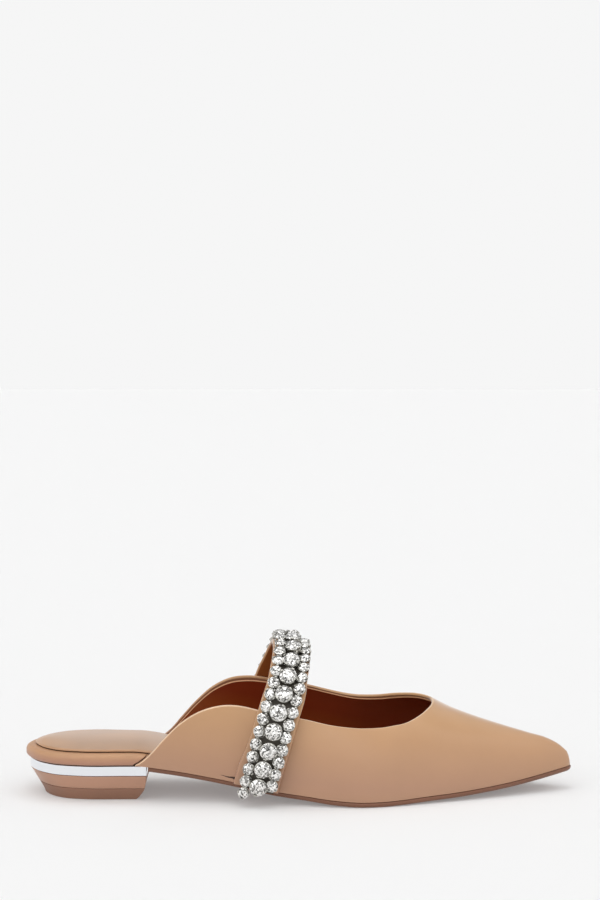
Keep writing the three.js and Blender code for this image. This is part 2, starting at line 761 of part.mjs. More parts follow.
// Where a stone stands: along the trim by length, across it, facing out.
function stonePlace(length, across) {
  const clamped = Math.min(trimRun.total, Math.max(0, length));
  const turn = trimRun.valueAt(clamped);
  const at = trimPoint(turn, across, PLATE_OUT - STONE_SINK);
  const out = trimDirection(stationAcross(turn, across), turn);
  const next = trimRun.valueAt(Math.min(trimRun.total, clamped + 1));
  const before = trimRun.valueAt(Math.max(0, clamped - 1));
  const run = trimMiddle(next).sub(trimMiddle(before)).normalize();
  const side = new THREE.Vector3().crossVectors(run, out).normalize();
  const forward = new THREE.Vector3().crossVectors(out, side);
  at.addScaledVector(forward, length - clamped);
  return new THREE.Matrix4().makeBasis(side, forward, out).setPosition(at);
}

// The stones in groups of two large ones with three small ones down each side. The first
// group is cut by the strap's end, which shows one large stone. The rear column of small
// stones sits a little nearer the outer end than the front one.
function stonePlan() {
  const first = LARGE_STONE * 0.28; // of the first large stone, from the strap's end
  const group = 2 * STONE_PITCH;
  const spread = group / 3; // from one small stone to the next in its group
  const stagger = SMALL_STONE * 0.08;
  const overhang = SMALL_STONE * 0.38; // how far past the strap's end a small stone may lie
  const slack = (side) => SMALL_STONE * (side < 0 ? 0.75 : 0.3); // before it is left out
  const plan = [];
  const total = trimRun.total;
  for (let centre = first - STONE_PITCH / 2; centre < total + group; centre += group) {
    for (const offset of [-STONE_PITCH / 2, STONE_PITCH / 2]) {
      const length = centre + offset;
      if (length > 0 && length < total) plan.push({ large: true, length, across: 0 });
    }
    for (const offset of [-spread, 0, spread]) {
      for (const side of [-1, 1]) {
        const wanted = centre + offset + side * stagger;
        if (wanted < -slack(side) || wanted > total + slack(side)) continue;
        const length = Math.min(total + overhang, Math.max(-overhang, wanted));
        plan.push({ large: false, length, across: side * SMALL_STONE_OFFSET });
      }
    }
  }
  return plan;
}

function trimSolid() {
  let solid = bandSolid(TRIM_WIDTH, PLATE_IN, PLATE_OUT, trimPoint);
  for (const { large, length, across } of stonePlan()) {
    const place = stonePlace(length, across);
    const stone = large
      ? stoneSolid(LARGE_STONE, LARGE_STONE_HEIGHT, 8, place)
      : stoneSolid(SMALL_STONE, SMALL_STONE_HEIGHT, 6, place);
    solid = solid.add(stone);
  }
  return solid;
}

const shoe = new THREE.Group();

function addPiece(name, solid, finish) {
  const mesh = new THREE.Mesh(geometryOf(solid), finish);
  mesh.name = name;
  shoe.add(mesh);
}

addPiece("outsole", outsoleSolid(), MATERIALS.sole);
addPiece("insole", insoleSolid(), MATERIALS.insole);
addPiece("sock", sockSolid(), MATERIALS.sock);
addPiece("upper", upperSolid(), MATERIALS.leather);
addPiece("heel_band", heelBandSolid(), MATERIALS.chrome);
addPiece("heel_block", heelTier(TOP_PIECE_HEIGHT + FIT, BAND_BOTTOM - FIT, 4), MATERIALS.leather);
addPiece("top_piece", heelTier(0, TOP_PIECE_HEIGHT, 3), MATERIALS.topPiece);
addPiece("strap", bandSolid(STRAP_WIDTH, FIT, STRAP_OUT, strapPoint), MATERIALS.leather);
addPiece("crystal_trim", trimSolid(), MATERIALS.crystal);

// The origin is on the floor, under the middle of the shoe's box.
const box = new THREE.Box3().setFromObject(shoe);
const middle = box.getCenter(new THREE.Vector3());
for (const mesh of shoe.children) mesh.geometry.translate(-middle.x, -middle.y, -box.min.z);

export default shoe;
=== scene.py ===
"""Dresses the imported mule: tan leather, brown lining, padded sock, polished heel, cut stones."""

import bmesh
import bpy
import numpy as np
from mathutils import Matrix


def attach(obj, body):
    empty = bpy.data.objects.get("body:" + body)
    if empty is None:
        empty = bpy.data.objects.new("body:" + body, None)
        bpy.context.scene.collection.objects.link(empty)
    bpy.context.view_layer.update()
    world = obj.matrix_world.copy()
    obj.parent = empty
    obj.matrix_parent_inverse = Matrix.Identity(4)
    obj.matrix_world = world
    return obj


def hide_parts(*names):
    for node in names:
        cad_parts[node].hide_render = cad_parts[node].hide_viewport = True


bl_info = {
    "name": "Pointed mule",
    "version": (1, 0, 0),
    "blender": (4, 5, 0),
    "location": "View3D > Sidebar > Mule",
    "description": "Builds a pointed leather mule with a jewelled strap over its packed frame",
    "category": "Object",
}

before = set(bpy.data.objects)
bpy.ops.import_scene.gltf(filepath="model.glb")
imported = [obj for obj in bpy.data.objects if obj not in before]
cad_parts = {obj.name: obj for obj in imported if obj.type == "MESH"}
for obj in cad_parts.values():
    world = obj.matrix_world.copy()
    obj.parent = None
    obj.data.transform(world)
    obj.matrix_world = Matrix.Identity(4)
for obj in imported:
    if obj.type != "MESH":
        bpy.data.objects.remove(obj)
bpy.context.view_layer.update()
TOE_TIP = max(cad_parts["upper"].data.vertices, key=lambda v: v.co.x).co.copy()
MM = 0.001

# Sections of the last, from the heel to the toe tip: foot, top (shares of the length), outer,
# inner, ridge (shares of the ball's width), rise (share of the instep's) and fullness.
SECTIONS = [
    (0.0, 0.0, 0.0, 0.0, 0.0, 1.19, 2.4),
    (0.0175, 0.0175, 0.18, 0.18, 0.0, 1.19, 2.4),
    (0.05, 0.05, 0.3, 0.3, 0.0, 1.175, 2.4),
    (0.105, 0.105, 0.367, 0.367, 0.004, 1.14, 2.4),
    (0.187, 0.187, 0.371, 0.354, 0.008, 1.1, 2.4),
    (0.257, 0.257, 0.368, 0.327, 0.012, 1.09, 2.4),
    (0.327, 0.327, 0.371, 0.307, 0.016, 1.096, 2.4),
    (0.397, 0.397, 0.391, 0.305, 0.021, 1.06, 2.35),
    (0.459, 0.459, 0.424, 0.334, 0.027, 0.99, 2.3),
    (0.5175, 0.5175, 0.461, 0.393, 0.032, 0.926, 2.25),
    (0.572, 0.572, 0.486, 0.451, 0.037, 0.852, 2.2),
    (0.6265, 0.6265, 0.485, 0.496, 0.043, 0.778, 2.15),
    (0.681, 0.681, 0.439, 0.512, 0.048, 0.72, 2.1),
    (0.7315, 0.7315, 0.377, 0.485, 0.053, 0.659, 2.08),
    (0.782, 0.78, 0.313, 0.429, 0.056, 0.555, 2.05),
    (0.8327, 0.8288, 0.245, 0.364, 0.057, 0.464, 2.0),
    (0.8833, 0.8774, 0.175, 0.297, 0.057, 0.376, 2.0),
    (0.926, 0.922, 0.107, 0.231, 0.057, 0.296, 2.0),
    (0.961, 0.959, 0.048, 0.168, 0.057, 0.226, 2.0),
    (0.9845, 0.9837, 0.0, 0.121, 0.057, 0.15, 2.0),
    (0.9969, 0.9965, -0.032, 0.085, 0.057, 0.08, 2.0),
    (1.0, 1.0, -0.0573, 0.0573, 0.057, 0.0, 2.0),
]

# The bottom seen from the side: along, lift (share of the seat's) and spring (of the toe's).
BOTTOM = [
    (0.0, 1.0, 0.0), (0.2, 1.0, 0.0), (0.257, 0.89, 0.0), (0.327, 0.695, 0.0),
    (0.397, 0.47, 0.0), (0.459, 0.265, 0.0), (0.5175, 0.15, 0.0), (0.56, 0.06, 0.0),
    (0.6, 0.008, 0.0), (0.613, 0.0, 0.0), (0.652, 0.0, 0.0), (0.681, 0.0, 0.03),
    (0.7315, 0.0, 0.11), (0.782, 0.0, 0.18), (0.8327, 0.0, 0.3), (0.8833, 0.0, 0.47),
    (0.926, 0.0, 0.65), (0.961, 0.0, 0.82), (1.0, 0.0, 1.0),
]

# The opening's edge: along, and turn from 0 at the outer feather edge to 1 at the inner.
TOPLINE = [
    (0.2065, 0.0006), (0.214, 0.0036), (0.2235, 0.0095), (0.2375, 0.023), (0.257, 0.048),
    (0.288, 0.087), (0.327, 0.124), (0.378, 0.156), (0.428, 0.17), (0.498, 0.187),
    (0.56, 0.202), (0.615, 0.224), (0.662, 0.248), (0.7, 0.281), (0.728, 0.345),
    (0.7425, 0.42), (0.7445, 0.495), (0.736, 0.56), (0.7115, 0.607), (0.683, 0.65),
    (0.648, 0.696), (0.6, 0.733), (0.545, 0.7505), (0.482, 0.765), (0.428, 0.784),
    (0.381, 0.814), (0.342, 0.856), (0.311, 0.9), (0.28, 0.946), (0.259, 0.974),
    (0.2405, 0.9895), (0.2305, 0.9957), (0.223, 0.9994),
]

# The strap's middle line: turn and along.
STRAP_LINE = [
    (0.0, 0.4277), (0.084, 0.4474), (0.182, 0.4651), (0.287, 0.4801), (0.42, 0.486),
    (0.5, 0.4838), (0.58, 0.481), (0.68, 0.472), (0.79, 0.4533), (0.9, 0.4335),
    (1.0, 0.4125),
]

# How far the heel has drawn in below its band: height, back, side, front.
HEEL_LEVELS = [
    (0.0, 0.121, 0.119, 0.091),
    (0.12, 0.112, 0.104, 0.066),
    (0.48, 0.068, 0.055, 0.02),
    (0.96, 0.006, 0.004, 0.002),
    (1.0, 0.0, 0.0, 0.0),
]

STEP = 1e-3  # for slopes, in stations and turns
SWELL_PEAK = 0.325  # the greatest product of a sine and its cosine cubed
CURVE_SAMPLES = 1201  # points that measure a curve's length
STATION_SAMPLES = 4001
WING_ROWS = 8.0  # rows of TOPLINE along the tail of a wing
COVER_RUN = 0.5 * MM  # over which the rim goes in behind it
BOARD_THINS = 0.22, 0.42  # where the rim goes down to the board, as shares of the length


def linear(code):
    """Linear colour, with its alpha, from an sRGB hex code."""
    srgb = np.array([int(code[i:i + 2], 16) / 255 for i in (0, 2, 4)])
    rgb = np.where(srgb <= 0.04045, srgb / 12.92, ((srgb + 0.055) / 1.055) ** 2.4)
    return (*rgb.tolist(), 1.0)


def length_prop(name, description, millimetres):
    return bpy.props.FloatProperty(
        name=name, description=description, default=millimetres * MM,
        subtype="DISTANCE", unit="LENGTH", precision=5,
    )


def colour_prop(name, description, code):
    return bpy.props.FloatVectorProperty(
        name=name, description=description, default=linear(code),
        subtype="COLOR", size=4, min=0.0, max=1.0,
    )


class MuleSizes(bpy.types.PropertyGroup):
    """Sizes of the mule."""

    length: length_prop("Length", "Back of the heel to the toe tip", 257)
    ball_width: length_prop("Ball width", "Across the joints", 75)
    seat_lift: length_prop("Seat lift", "How far the heel lifts the foot", 15.1)
    toe_spring: length_prop("Toe spring", "How far the toe tip lifts", 8.9)
    instep_rise: length_prop("Instep rise", "Feather edge to instep under the strap", 62.5)
    toe_axis: length_prop("Toe axis", "How far the toe point lies to the inner side", 4.3)
    wall_swell: length_prop("Wall swell", "How far the walls stand out", 1.35)
    fit: length_prop("Fit", "Clearance between the frame's pieces", 0.3)
    wall: length_prop("Wall", "Leather and lining of the upper", 1.8)
    sole: length_prop("Sole", "Thickness of the outsole", 2.2)
    rim: length_prop("Rim", "Thickness of the insole at the heel", 5.3)
    board: length_prop("Board", "Thickness of the insole inside the upper", 3.0)
    sock: length_prop("Sock", "Thickness of the padded sock", 1.2)
    heel_length: length_prop("Heel length", "Back of the heel to its front face", 58.3)
    heel_inset: length_prop("Heel inset", "How far the heel lies inside the rim", 1.8)
    band: length_prop("Band", "Height of the polished band", 4.7)
    top_piece: length_prop("Top piece", "Height of the layer that meets the floor", 5.8)
    strap_width: length_prop("Strap width", "Width of the strap", 19.3)
    strap: length_prop("Strap", "Thickness of the strap with its lining", 2.2)
    large_stone: length_prop("Large stone", "Diameter of a large stone", 8.0)
    small_stone: length_prop("Small stone", "Diameter of a small stone", 5.6)


class MuleColours(bpy.types.PropertyGroup):
    """Colours of the mule."""

    leather: colour_prop("Leather", "Tan calf leather of upper and strap", "bc9065")
    # Painted shade: the leather darker and pinker towards the sole
    leather_painted_shade: colour_prop("Leather in painted shade", "The leather darker and pinker near the sole, as painted shade", "ad8367")
    heel: colour_prop("Heel", "Leather round the heel", "b0856d")
    # Painted highlight: a pale line on the rolled edge, where it would catch the light
    edge_highlight: colour_prop("Edge highlight", "Painted highlight where the leather rolls over the edge", "dfbd9a")
    lining: colour_prop("Lining", "Brown lining leather", "702405")
    # Painted light: the lining lighter and warmer low towards the heel, darker higher up and
    # towards the toe
    lining_painted_light: colour_prop("Lining in painted light", "The lining lighter and warmer low towards the heel, as painted light", "783409")
    strap_lining: colour_prop("Strap lining", "Brown leather inside the strap", "7c4218")
    lining_edge: colour_prop("Lining edge", "Light edge of the lining", "c9966f")
    # The turned-in tan leather is real; its darker colour is painted shade under the rolled edge
    shaded_fold: colour_prop("Fold in painted shade", "Leather turned in over the edge", "80553a")
    rim: colour_prop("Rim", "Leather round the insole", "b78b67")
    # Painted shade: the rim's leather darker and pinker towards its foot
    rim_painted_shade: colour_prop("Rim in painted shade", "The rim's leather darker and pinker at its foot, as painted shade", "ab7e66")
    sock: colour_prop("Sock", "Leather of the padded sock", "b68d6a")
    # Painted shadow: the dark colour of strips put in gaps and creases where shade falls
    seam: colour_prop("Seam", "Painted shadow in the gaps between the layers and in the crease", "3b2418")
    edge: colour_prop("Sole edge", "Brown edge of the sole", "7a503a")
    top_piece: colour_prop("Top piece", "Brown layer under the heel", "8c6550")
    chrome: colour_prop("Band", "Polished metal band", "eceef2")
    cup: colour_prop("Cups", "Metal cups and claws of the stones", "b9b7b0")
    # The band under the stones is real; its dark colour is painted shade between the stones
    backing_shadow: colour_prop("Backing shadow", "Band under the stones, dark as painted shade between them", "4c463c")


# Curves


def floats(*values):
    """Values as arrays of one shape."""
    return np.broadcast_arrays(*(np.asarray(value, float) for value in values))


def hermite(y0, y1, m0, m1, h, t):
    t2, t3 = t * t, t * t * t
    return (
        (2 * t3 - 3 * t2 + 1) * y0 + (t3 - 2 * t2 + t) * h * m0
        + (3 * t2 - 2 * t3) * y1 + (t3 - t2) * h * m1
    )


def passage(value, start, end):
    """0 up to start and 1 from end on, with a smooth rise between."""
    t = np.clip((value - start) / (end - start), 0, 1)
    return t * t * (3 - 2 * t)


def mix(a, b, share):
    return a + (b - a) * share


def steady(xs, ys):
    """A curve through points that never overshoots them."""
    xs, ys = np.asarray(xs, float), np.asarray(ys, float)
    slopes = np.diff(ys) / np.diff(xs)
    before, after = np.r_[slopes[:1], slopes], np.r_[slopes, slopes[-1:]]
    both = before * after > 0
    tangents = np.where(both, 2 * before * after / np.where(both, before + after, 1), 0)

    def at(x):
        i = np.clip(np.searchsorted(xs, x, "left") - 1, 0, len(xs) - 2)
        h = xs[i + 1] - xs[i]
        t = np.clip((x - xs[i]) / h, 0, 1)
        return hermite(ys[i], ys[i + 1], tangents[i], tangents[i + 1], h, t)

    return at


def flowing(rows, knots):
    """A smooth curve through rows of numbers; its first and last rows are end conditions."""
    rows = np.asarray(rows, float)
    h = np.diff(knots)[:, None]
    slope = np.diff(rows, axis=0) / h
    tangents = np.zeros_like(rows)
    tangents[1:-1] = (slope[:-1] * h[1:] + slope[1:] * h[:-1]) / (h[:-1] + h[1:])

    def at(station):
        station = np.asarray(station, float)
        i = np.clip(np.floor(station).astype(int), 0, len(rows) - 4)
        t = (station - i)[..., None]
        j = i + 1
        return hermite(rows[j], rows[j + 1], tangents[j], tangents[j + 1], h[j], t)

    return at


def even(curve, start, end, count):
    """Values of a curve's parameter at equal steps; and fine values, with their lengths."""
    values = np.linspace(start, end, CURVE_SAMPLES)
    run = run_along(curve(values))
    return np.interp(np.linspace(0, run[-1], count + 1), run, values), values, run


def run_along(points):
    """How far each point lies along the line through all of them."""
    return np.r_[0, np.cumsum(np.linalg.norm(np.diff(points, axis=0), axis=1))]


def unit(vectors):
    return vectors / np.maximum(np.linalg.norm(vectors, axis=-1, keepdims=True), 1e-12)


class Last:
    """The last and the curves on it, in metres, with x from the back of the heel."""

    def __init__(self, s):
        self.s = s
        table = np.array(SECTIONS)
        scale = [s.length, s.length, s.ball_width, s.ball_width, s.ball_width, s.instep_rise, 1]
        rows = table * scale
        rows[-1, 2:4] = -s.toe_axis, s.toe_axis
        heel, toe = rows[1].copy(), rows[-2].copy()
        heel[2:4] = 2 * rows[0, 2:4] - heel[2:4]
        toe[[2, 3, 5]] = 2 * rows[-1, [2, 3, 5]] - toe[[2, 3, 5]]
        rows = np.vstack([heel, rows, toe])
        # Sections lie apart by their foot, half of outer and inner, and a quarter of rise
        self.row = flowing(rows, run_along(rows[:, [0, 2, 3, 5]] / [1, 2, 2, 4]))
        self.tip = len(table) - 1.0
        along, lift, spring = np.array(BOTTOM).T
        self.lift = steady(along * s.length, lift * s.seat_lift)
        self.spring = steady(along * s.length, spring * s.toe_spring)
        self._stations = np.linspace(0, self.tip, STATION_SAMPLES)
        self._feet = self.row(self._stations)[:, 0]
        turn, along = np.array(STRAP_LINE).T
        self.strap_along = steady(turn, along * s.length)
        edge = np.array(TOPLINE)
        edge[:, 0] = self.station(edge[:, 0] * s.length)
        edge = np.vstack([edge[:1], edge, edge[-1:]])
        gaps = np.linalg.norm(np.diff(self.point(*edge.T), axis=0), axis=1)
        gaps = np.maximum(gaps, STEP * MM)
        self.topline = flowing(edge, np.r_[0, np.cumsum(gaps)])
        self.topline_end = len(TOPLINE) - 1.0
        self.throat = next(float(i) for i, (_, turn) in enumerate(TOPLINE) if turn > 0.49)
        self.insole_thickness = steady(
            np.array([0, *BOARD_THINS, 1]) * s.length, [s.rim, s.rim, s.board, s.board])

    def base(self, x):
        return self.s.sole + self.s.fit + self.lift(x) + self.spring(x)

    def station(self, x):
        return np.interp(x, self._feet, self._stations)

    def point(self, station, turn):
        station, turn = floats(station, turn)
        foot, top, outer, inner, ridge, rise, fullness = np.moveaxis(self.row(station), -1, 0)
        sine = np.maximum(0, np.sin(turn * np.pi))
        cosine = np.abs(np.cos(turn * np.pi))
        half = np.where(turn <= 0.5, -outer, inner) - ridge
        height = sine ** (2 / fullness)
        reach = (half / (self.s.ball_width / 2)) * (rise / self.s.instep_rise)
        swell = self.s.wall_swell / SWELL_PEAK * reach
        return np.stack([
            mix(foot, top, height),
            ridge + half * cosine ** (2 / fullness) + swell * sine * cosine**3,
            self.base(foot) + rise * height,
        ], axis=-1)

    def normal(self, station, turn):
        station, turn = floats(station, turn)
        s0, s1 = np.maximum(0, station - STEP), np.minimum(self.tip, station + STEP)
        t0, t1 = np.maximum(0, turn - STEP), np.minimum(1, turn + STEP)
        along = self.point(s1, turn) - self.point(s0, turn)
        around = self.point(station, t1) - self.point(station, t0)
        out = unit(np.cross(along, around))
        out[station > self.tip - STEP] = (1, 0, 0)
        return out

    def edge(self, station, side):
        row = self.row(station)
        return np.stack([row[..., 0], -row[..., 2] if side < 0 else row[..., 3]], axis=-1)

    def outline(self, station, side, inset):
        """The feather edge, moved in by inset, on the outer (-1) or inner (1) side."""
        station = np.asarray(station, float)
        ahead, behind = (self.edge(station + step, side) for step in (STEP / 2, -STEP / 2))
        slope = unit(ahead - behind)
        inward = np.stack([slope[..., 1], -slope[..., 0]], axis=-1) * side
        inward[station < STEP] = (1, 0)
        inward[station > self.tip - STEP] = (-1, 0)
        return self.edge(station, side) + inward * np.asarray(inset)[..., None]

    def stations(self, start, end, count):
        last = self.tip if end >= self.s.length else self.station(end)
        return even(lambda v: self.edge(v, -1), self.station(start), last, count)[0]

    def wing_height(self, x, side):
        rows = np.arange(WING_ROWS)
        rows = rows if side < 0 else self.topline_end - rows
        points = self.point(*self.topline(rows).T)
        height = np.interp(x, points[:, 0], points[:, 2])
        return np.where(x < points[0, 0], points[0, 2] - (points[0, 0] - x), height)

    def cover(self, x, z, side):
        """How far the insole draws in to lie behind the upper's wing."""
        behind = passage(self.wing_height(x + COVER_RUN, side), z - COVER_RUN, z)
        return (self.s.wall + 2 * self.s.fit) * behind

    def strap_point(self, turn, across, lift):
        turn, across = floats(turn, across)
        along = self.strap_along(turn)
        here = self.point(self.station(along), turn)
        there = self.point(self.station(along + MM), turn)
        stretch = MM / np.linalg.norm(there - here, axis=-1)
        station = self.station(along + across * stretch)
        out = self.normal(station, turn)
        return self.point(station, turn) + out * np.asarray(lift)[..., None], out

    def trim_point(self, turn, across, lift):
        """A point of the trim, which stands level across the strap, and the way it faces."""
        face = self.s.fit + self.s.strap
        point, out = self.strap_point(turn, across, face)
        out = unit(out * (0, 1, 1))
        return point + out * (np.asarray(lift) - face)[..., None], out


# Meshes

sizes = colours = last = SHIFT = None  # set by prepare
WELD = 0.002 * MM  # points nearer than this become one


def prepare(context):
    """Takes up the sizes and colours as they stand, and makes and places the last."""
    global sizes, colours, last, SHIFT
    sizes, colours = context.scene.mule_sizes, context.scene.mule_colours
    last = Last(sizes)
    SHIFT = np.array([TOE_TIP.x - sizes.length, TOE_TIP.y - sizes.toe_axis, 0])


def piece(name, verts, faces, finish, slot, replaced=(), sharp=60, kinds=()):
    """Makes a mesh object from points in the last's frame, and ties it to the frame.

    finish is a material, or a list of them of which kinds names one for each face. Edges
    steeper than sharp degrees stay sharp, and without it all faces are flat."""
    mesh = bpy.data.meshes.new(name)
    mesh.from_pydata((np.asarray(verts).reshape(-1, 3) + SHIFT).tolist(), [], faces)
    if len(kinds):
        mesh.polygons.foreach_set("material_index", kinds)
    work = bmesh.new()
    work.from_mesh(mesh)
    bmesh.ops.remove_doubles(work, verts=work.verts, dist=WELD)
    bmesh.ops.dissolve_degenerate(work, edges=work.edges, dist=WELD / 2)
    bmesh.ops.recalc_face_normals(work, faces=work.faces)
    work.to_mesh(mesh)
    work.free()
    if sharp:
        mesh.shade_smooth()
        mesh.set_sharp_from_angle(angle=np.radians(sharp))
    else:
        mesh.shade_flat()
    for material in finish if isinstance(finish, list) else [finish]:
        mesh.materials.append(material)
    made = bpy.data.objects.new(name, mesh)
    bpy.context.scene.collection.objects.link(made)
    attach(made, "root")
    if replaced:
        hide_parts(*replaced)
    return made


def loft(rings, start_cap=True, end_cap=True):
    """Faces round closed rings of equal count, with the ends closed by strips.

    An end whose ring is drawn together to a line closes by itself and needs no cap."""
    rings = np.asarray(rings)
    count, around = rings.shape[:2]
    faces = []
    for r in range(count - 1):
        a, b = r * around, (r + 1) * around
        for i in range(around):
            j = (i + 1) % around
            faces.append((a + i, a + j, b + j, b + i))
    for capped, start in ((start_cap, 0), (end_cap, (count - 1) * around)):
        for i in range((around - 1) // 2) if capped else ():
            j = around - 1 - i
            corners = (start + i, start + i + 1, start + j - 1, start + j)
            faces.append(tuple(dict.fromkeys(corners)))
    return rings.reshape(-1, 3), faces


def stack(rings):
    """Rings joined upwards, with one face at each end."""
    verts, faces = loft(rings, False, False)
    count = len(rings[0])
    faces.append(tuple(range(count))[::-1])
    faces.append(tuple(range(len(verts) - count, len(verts))))
    return verts, faces


# Materials

WHITE = 1.0, 1.0, 1.0, 1.0
CLOUD = 0.3, 0.7  # the part of a noise's range that shows
CLOUD_SCALE, CELL_SCALE, PORE_SCALE, HAZE_SCALE = 45.0, 1500.0, 3200.0, 120.0  # per metre
# Painted reflections: the colours of a stone's cells, from near black to white, stand in for the
# light each facet gives back
GLASS_PAINTED_REFLECTIONS = (
    (0.0, "343330"), (0.09, "868581"), (0.26, "bebcb8"), (0.46, "eeedea"), (0.74, "fcfaf7"),
    (0.93, "7c7a76"),
)


def feed(tree, node, inputs):
    """Gives a node's inputs, by name or number, each a socket to follow or a fixed value."""
    for key, value in inputs.items():
        if isinstance(value, bpy.types.NodeSocket):
            tree.links.new(value, node.inputs[key])
        else:
            node.inputs[key].default_value = value


def add_node(tree, kind, inputs=None, **settings):
    node = tree.nodes.new(kind)
    for key, value in settings.items():
        setattr(node, key, value)
    feed(tree, node, inputs or {})
    return node


def vector_math(tree, operation, inputs):
    return add_node(tree, "ShaderNodeVectorMath", inputs, operation=operation).outputs


def rescale(tree, value, start, end, low, high, interpolation="LINEAR"):
    """A number that goes from low to high while value goes from start to end."""
    return add_node(tree, "ShaderNodeMapRange", {
        "Value": value, "From Min": start, "From Max": end, "To Min": low, "To Max": high,
    }, interpolation_type=interpolation).outputs["Result"]


def new_material(name, colour, **values):
    """A material with its node tree and its shader, whose inputs are given by name."""
    material = bpy.data.materials.new(name)
    material.use_nodes = True
    material.diffuse_color = colour
    tree = material.node_tree
    shader = tree.nodes["Principled BSDF"]
    feed(tree, shader, {"Base Color": colour})
    feed(tree, shader, {key.replace("_", " "): value for key, value in values.items()})
    return material, tree, shader


def object_place(tree):
    return add_node(tree, "ShaderNodeTexCoord").outputs["Object"]


def noise(tree, place, scale, detail):
    return add_node(tree, "ShaderNodeTexNoise", {
        "Vector": place, "Scale": scale, "Detail": detail}).outputs["Fac"]


def leather(name, colour, roughness=0.4, grain=0.05, patch=0.06, low=None,
            span=((0.08, 0, 1), 0.012, 0.04), **values):
    """Smooth leather: a little uneven in colour and shine, with a fine pebbled grain.

    low, when given, is painted light or shade: the colour it takes at the start of span, which is
    a direction and two lengths along it."""
    material, tree, shader = new_material(name, colour, **values)
    place = object_place(tree)
    cloud = noise(tree, place, CLOUD_SCALE, 4.0)
    base = np.array(colour)
    patches = add_node(tree, "ShaderNodeValToRGB", {"Fac": cloud})
    for element, position, shade in zip(
            patches.color_ramp.elements, CLOUD, (1 - patch, 1 + patch)):
        element.position = position
        element.color = (*(base[:3] * shade).clip(0, 1), 1)
    surface = patches.outputs["Color"]
    # Painted light or shade: the colour goes over to low towards the start of span
    if low is not None:
        way, start, end = span
        reach = vector_math(tree, "DOT_PRODUCT", {0: place, 1: way})["Value"]
        surface = add_node(tree, "ShaderNodeMixRGB", {
            "Fac": rescale(tree, reach, start, end, 1, 0), "Color1": surface,
            "Color2": tuple(np.array(low) / base)}, blend_type="MULTIPLY").outputs["Color"]
    cells = add_node(tree, "ShaderNodeTexVoronoi", {"Vector": place, "Scale": CELL_SCALE})
    pores = noise(tree, place, PORE_SCALE, 2.0)
    coarse = add_node(tree, "ShaderNodeBump", {
        "Height": cells.outputs["Distance"], "Strength": grain, "Distance": 0.3 * MM})
    fine = add_node(tree, "ShaderNodeBump", {
        "Height": pores, "Normal": coarse.outputs["Normal"],
        "Strength": grain, "Distance": 0.1 * MM})
    feed(tree, shader, {
        "Base Color": surface, "Normal": fine.outputs["Normal"],
        "Roughness": rescale(tree, cloud, *CLOUD, roughness - 0.03, roughness + 0.03)})
    return material


def calf_leather():
    # Painted shade: the tan leather goes darker and pinker towards the sole
    return bpy.data.materials.get("calf_leather_tan") or leather(
        "calf_leather_tan", colours.leather, roughness=0.36, grain=0.04, patch=0.03,
        low=colours.leather_painted_shade, Coat_Weight=0.35, Coat_Roughness=0.3, Sheen_Weight=1.0,
        Sheen_Roughness=0.3)


# Painted shadow: a dark finish for strips that fill gaps and creases
def gap_shadow_finish():
    return bpy.data.materials.get("painted_gap_shadow") or leather(
        "painted_gap_shadow", colours.seam, roughness=0.7, grain=0.02)


def metal(name, colour, roughness):
    material, tree, shader = new_material(name, colour, Metallic=1.0)
    haze = noise(tree, object_place(tree), HAZE_SCALE, 3.0)
    feed(tree, shader, {
        "Roughness": rescale(tree, haze, 0, 1, roughness * 0.7, roughness * 1.3)})
    return material


def cut_glass(name, size, tilt):
    """Foil-backed cut glass: flat cells of a size, each tilted, and each coloured from near black
    to white as a painted reflection.
    """
    material, tree, shader = new_material(
        name, WHITE, Metallic=0.8, Roughness=0.06, Coat_Weight=1.0, Coat_Roughness=0.0,
        Coat_IOR=1.6)
    cells = add_node(tree, "ShaderNodeTexVoronoi", {
        "Vector": object_place(tree), "Scale": 1 / size}).outputs["Color"]
    split = add_node(tree, "ShaderNodeSeparateXYZ", {"Vector": cells})
    steps = add_node(tree, "ShaderNodeValToRGB", {"Fac": split.outputs["X"]})
    shades = steps.color_ramp
    shades.interpolation = "CONSTANT"
    for position, _ in GLASS_PAINTED_REFLECTIONS[2:]:
        shades.elements.new(position)
    for element, (position, code) in zip(shades.elements, GLASS_PAINTED_REFLECTIONS):
        element.position, element.color = position, linear(code)
    middle = vector_math(tree, "SUBTRACT", {0: cells, 1: (0.5, 0.5, 0.5)})[0]
    lean = vector_math(tree, "SCALE", {0: middle, "Scale": tilt})[0]
    face = add_node(tree, "ShaderNodeNewGeometry").outputs["Normal"]
    tilted = vector_math(tree, "ADD", {0: face, 1: lean})[0]
    feed(tree, shader, {"Base Color": steps.outputs["Color"],
                        "Normal": vector_math(tree, "NORMALIZE", {0: tilted})[0]})
    return material


# The upper

COLUMNS_ALONG, COLUMNS_TOE = 120, 30  # columns of one side, from its tail to the throat
FAN_FROM = 0.36  # share of the length past which columns spread towards the toe
WALL_ROWS = 34  # steps up a wall
ROLL = 8  # points round a rolled edge
HIGHLIGHT_ROWS = 3  # faces of the rolled edge that carry a painted highlight
TAN_DEPTH = 0.35 * MM  # how much of the wall the tan leather leaves to the lining


def upper_columns(side):
    """Foot and top of each column on one side, from the wing's tail round to the throat."""
    tail, turn = (0.0, 0.0) if side < 0 else (last.topline_end, 1.0)
    along, toe = COLUMNS_ALONG, COLUMNS_TOE

    columns = even(lambda at: last.point(*last.topline(at).T), tail, last.throat, along + toe)
    top = last.topline(columns[0])
    _, values, run = even(lambda v: last.point(v, turn), top[0, 0], last.tip, 1)
    length = np.interp(top[:, 0], values, run)
    slack = run[-1] - length[along]
    i = np.arange(along + toe + 1)
    fan = np.argmax(top[:, 0] > last.station(FAN_FROM * sizes.length))
    reach = np.minimum(run[-1], length + slack * passage(i, fan, along))
    foot = np.stack([np.interp(reach, run, values), np.full(len(i), turn)], axis=1)
    foot[along:] = np.stack(
        [np.full(toe + 1, last.tip), mix(turn, 0.5, np.arange(toe + 1) / toe)], axis=1)
    return foot, top


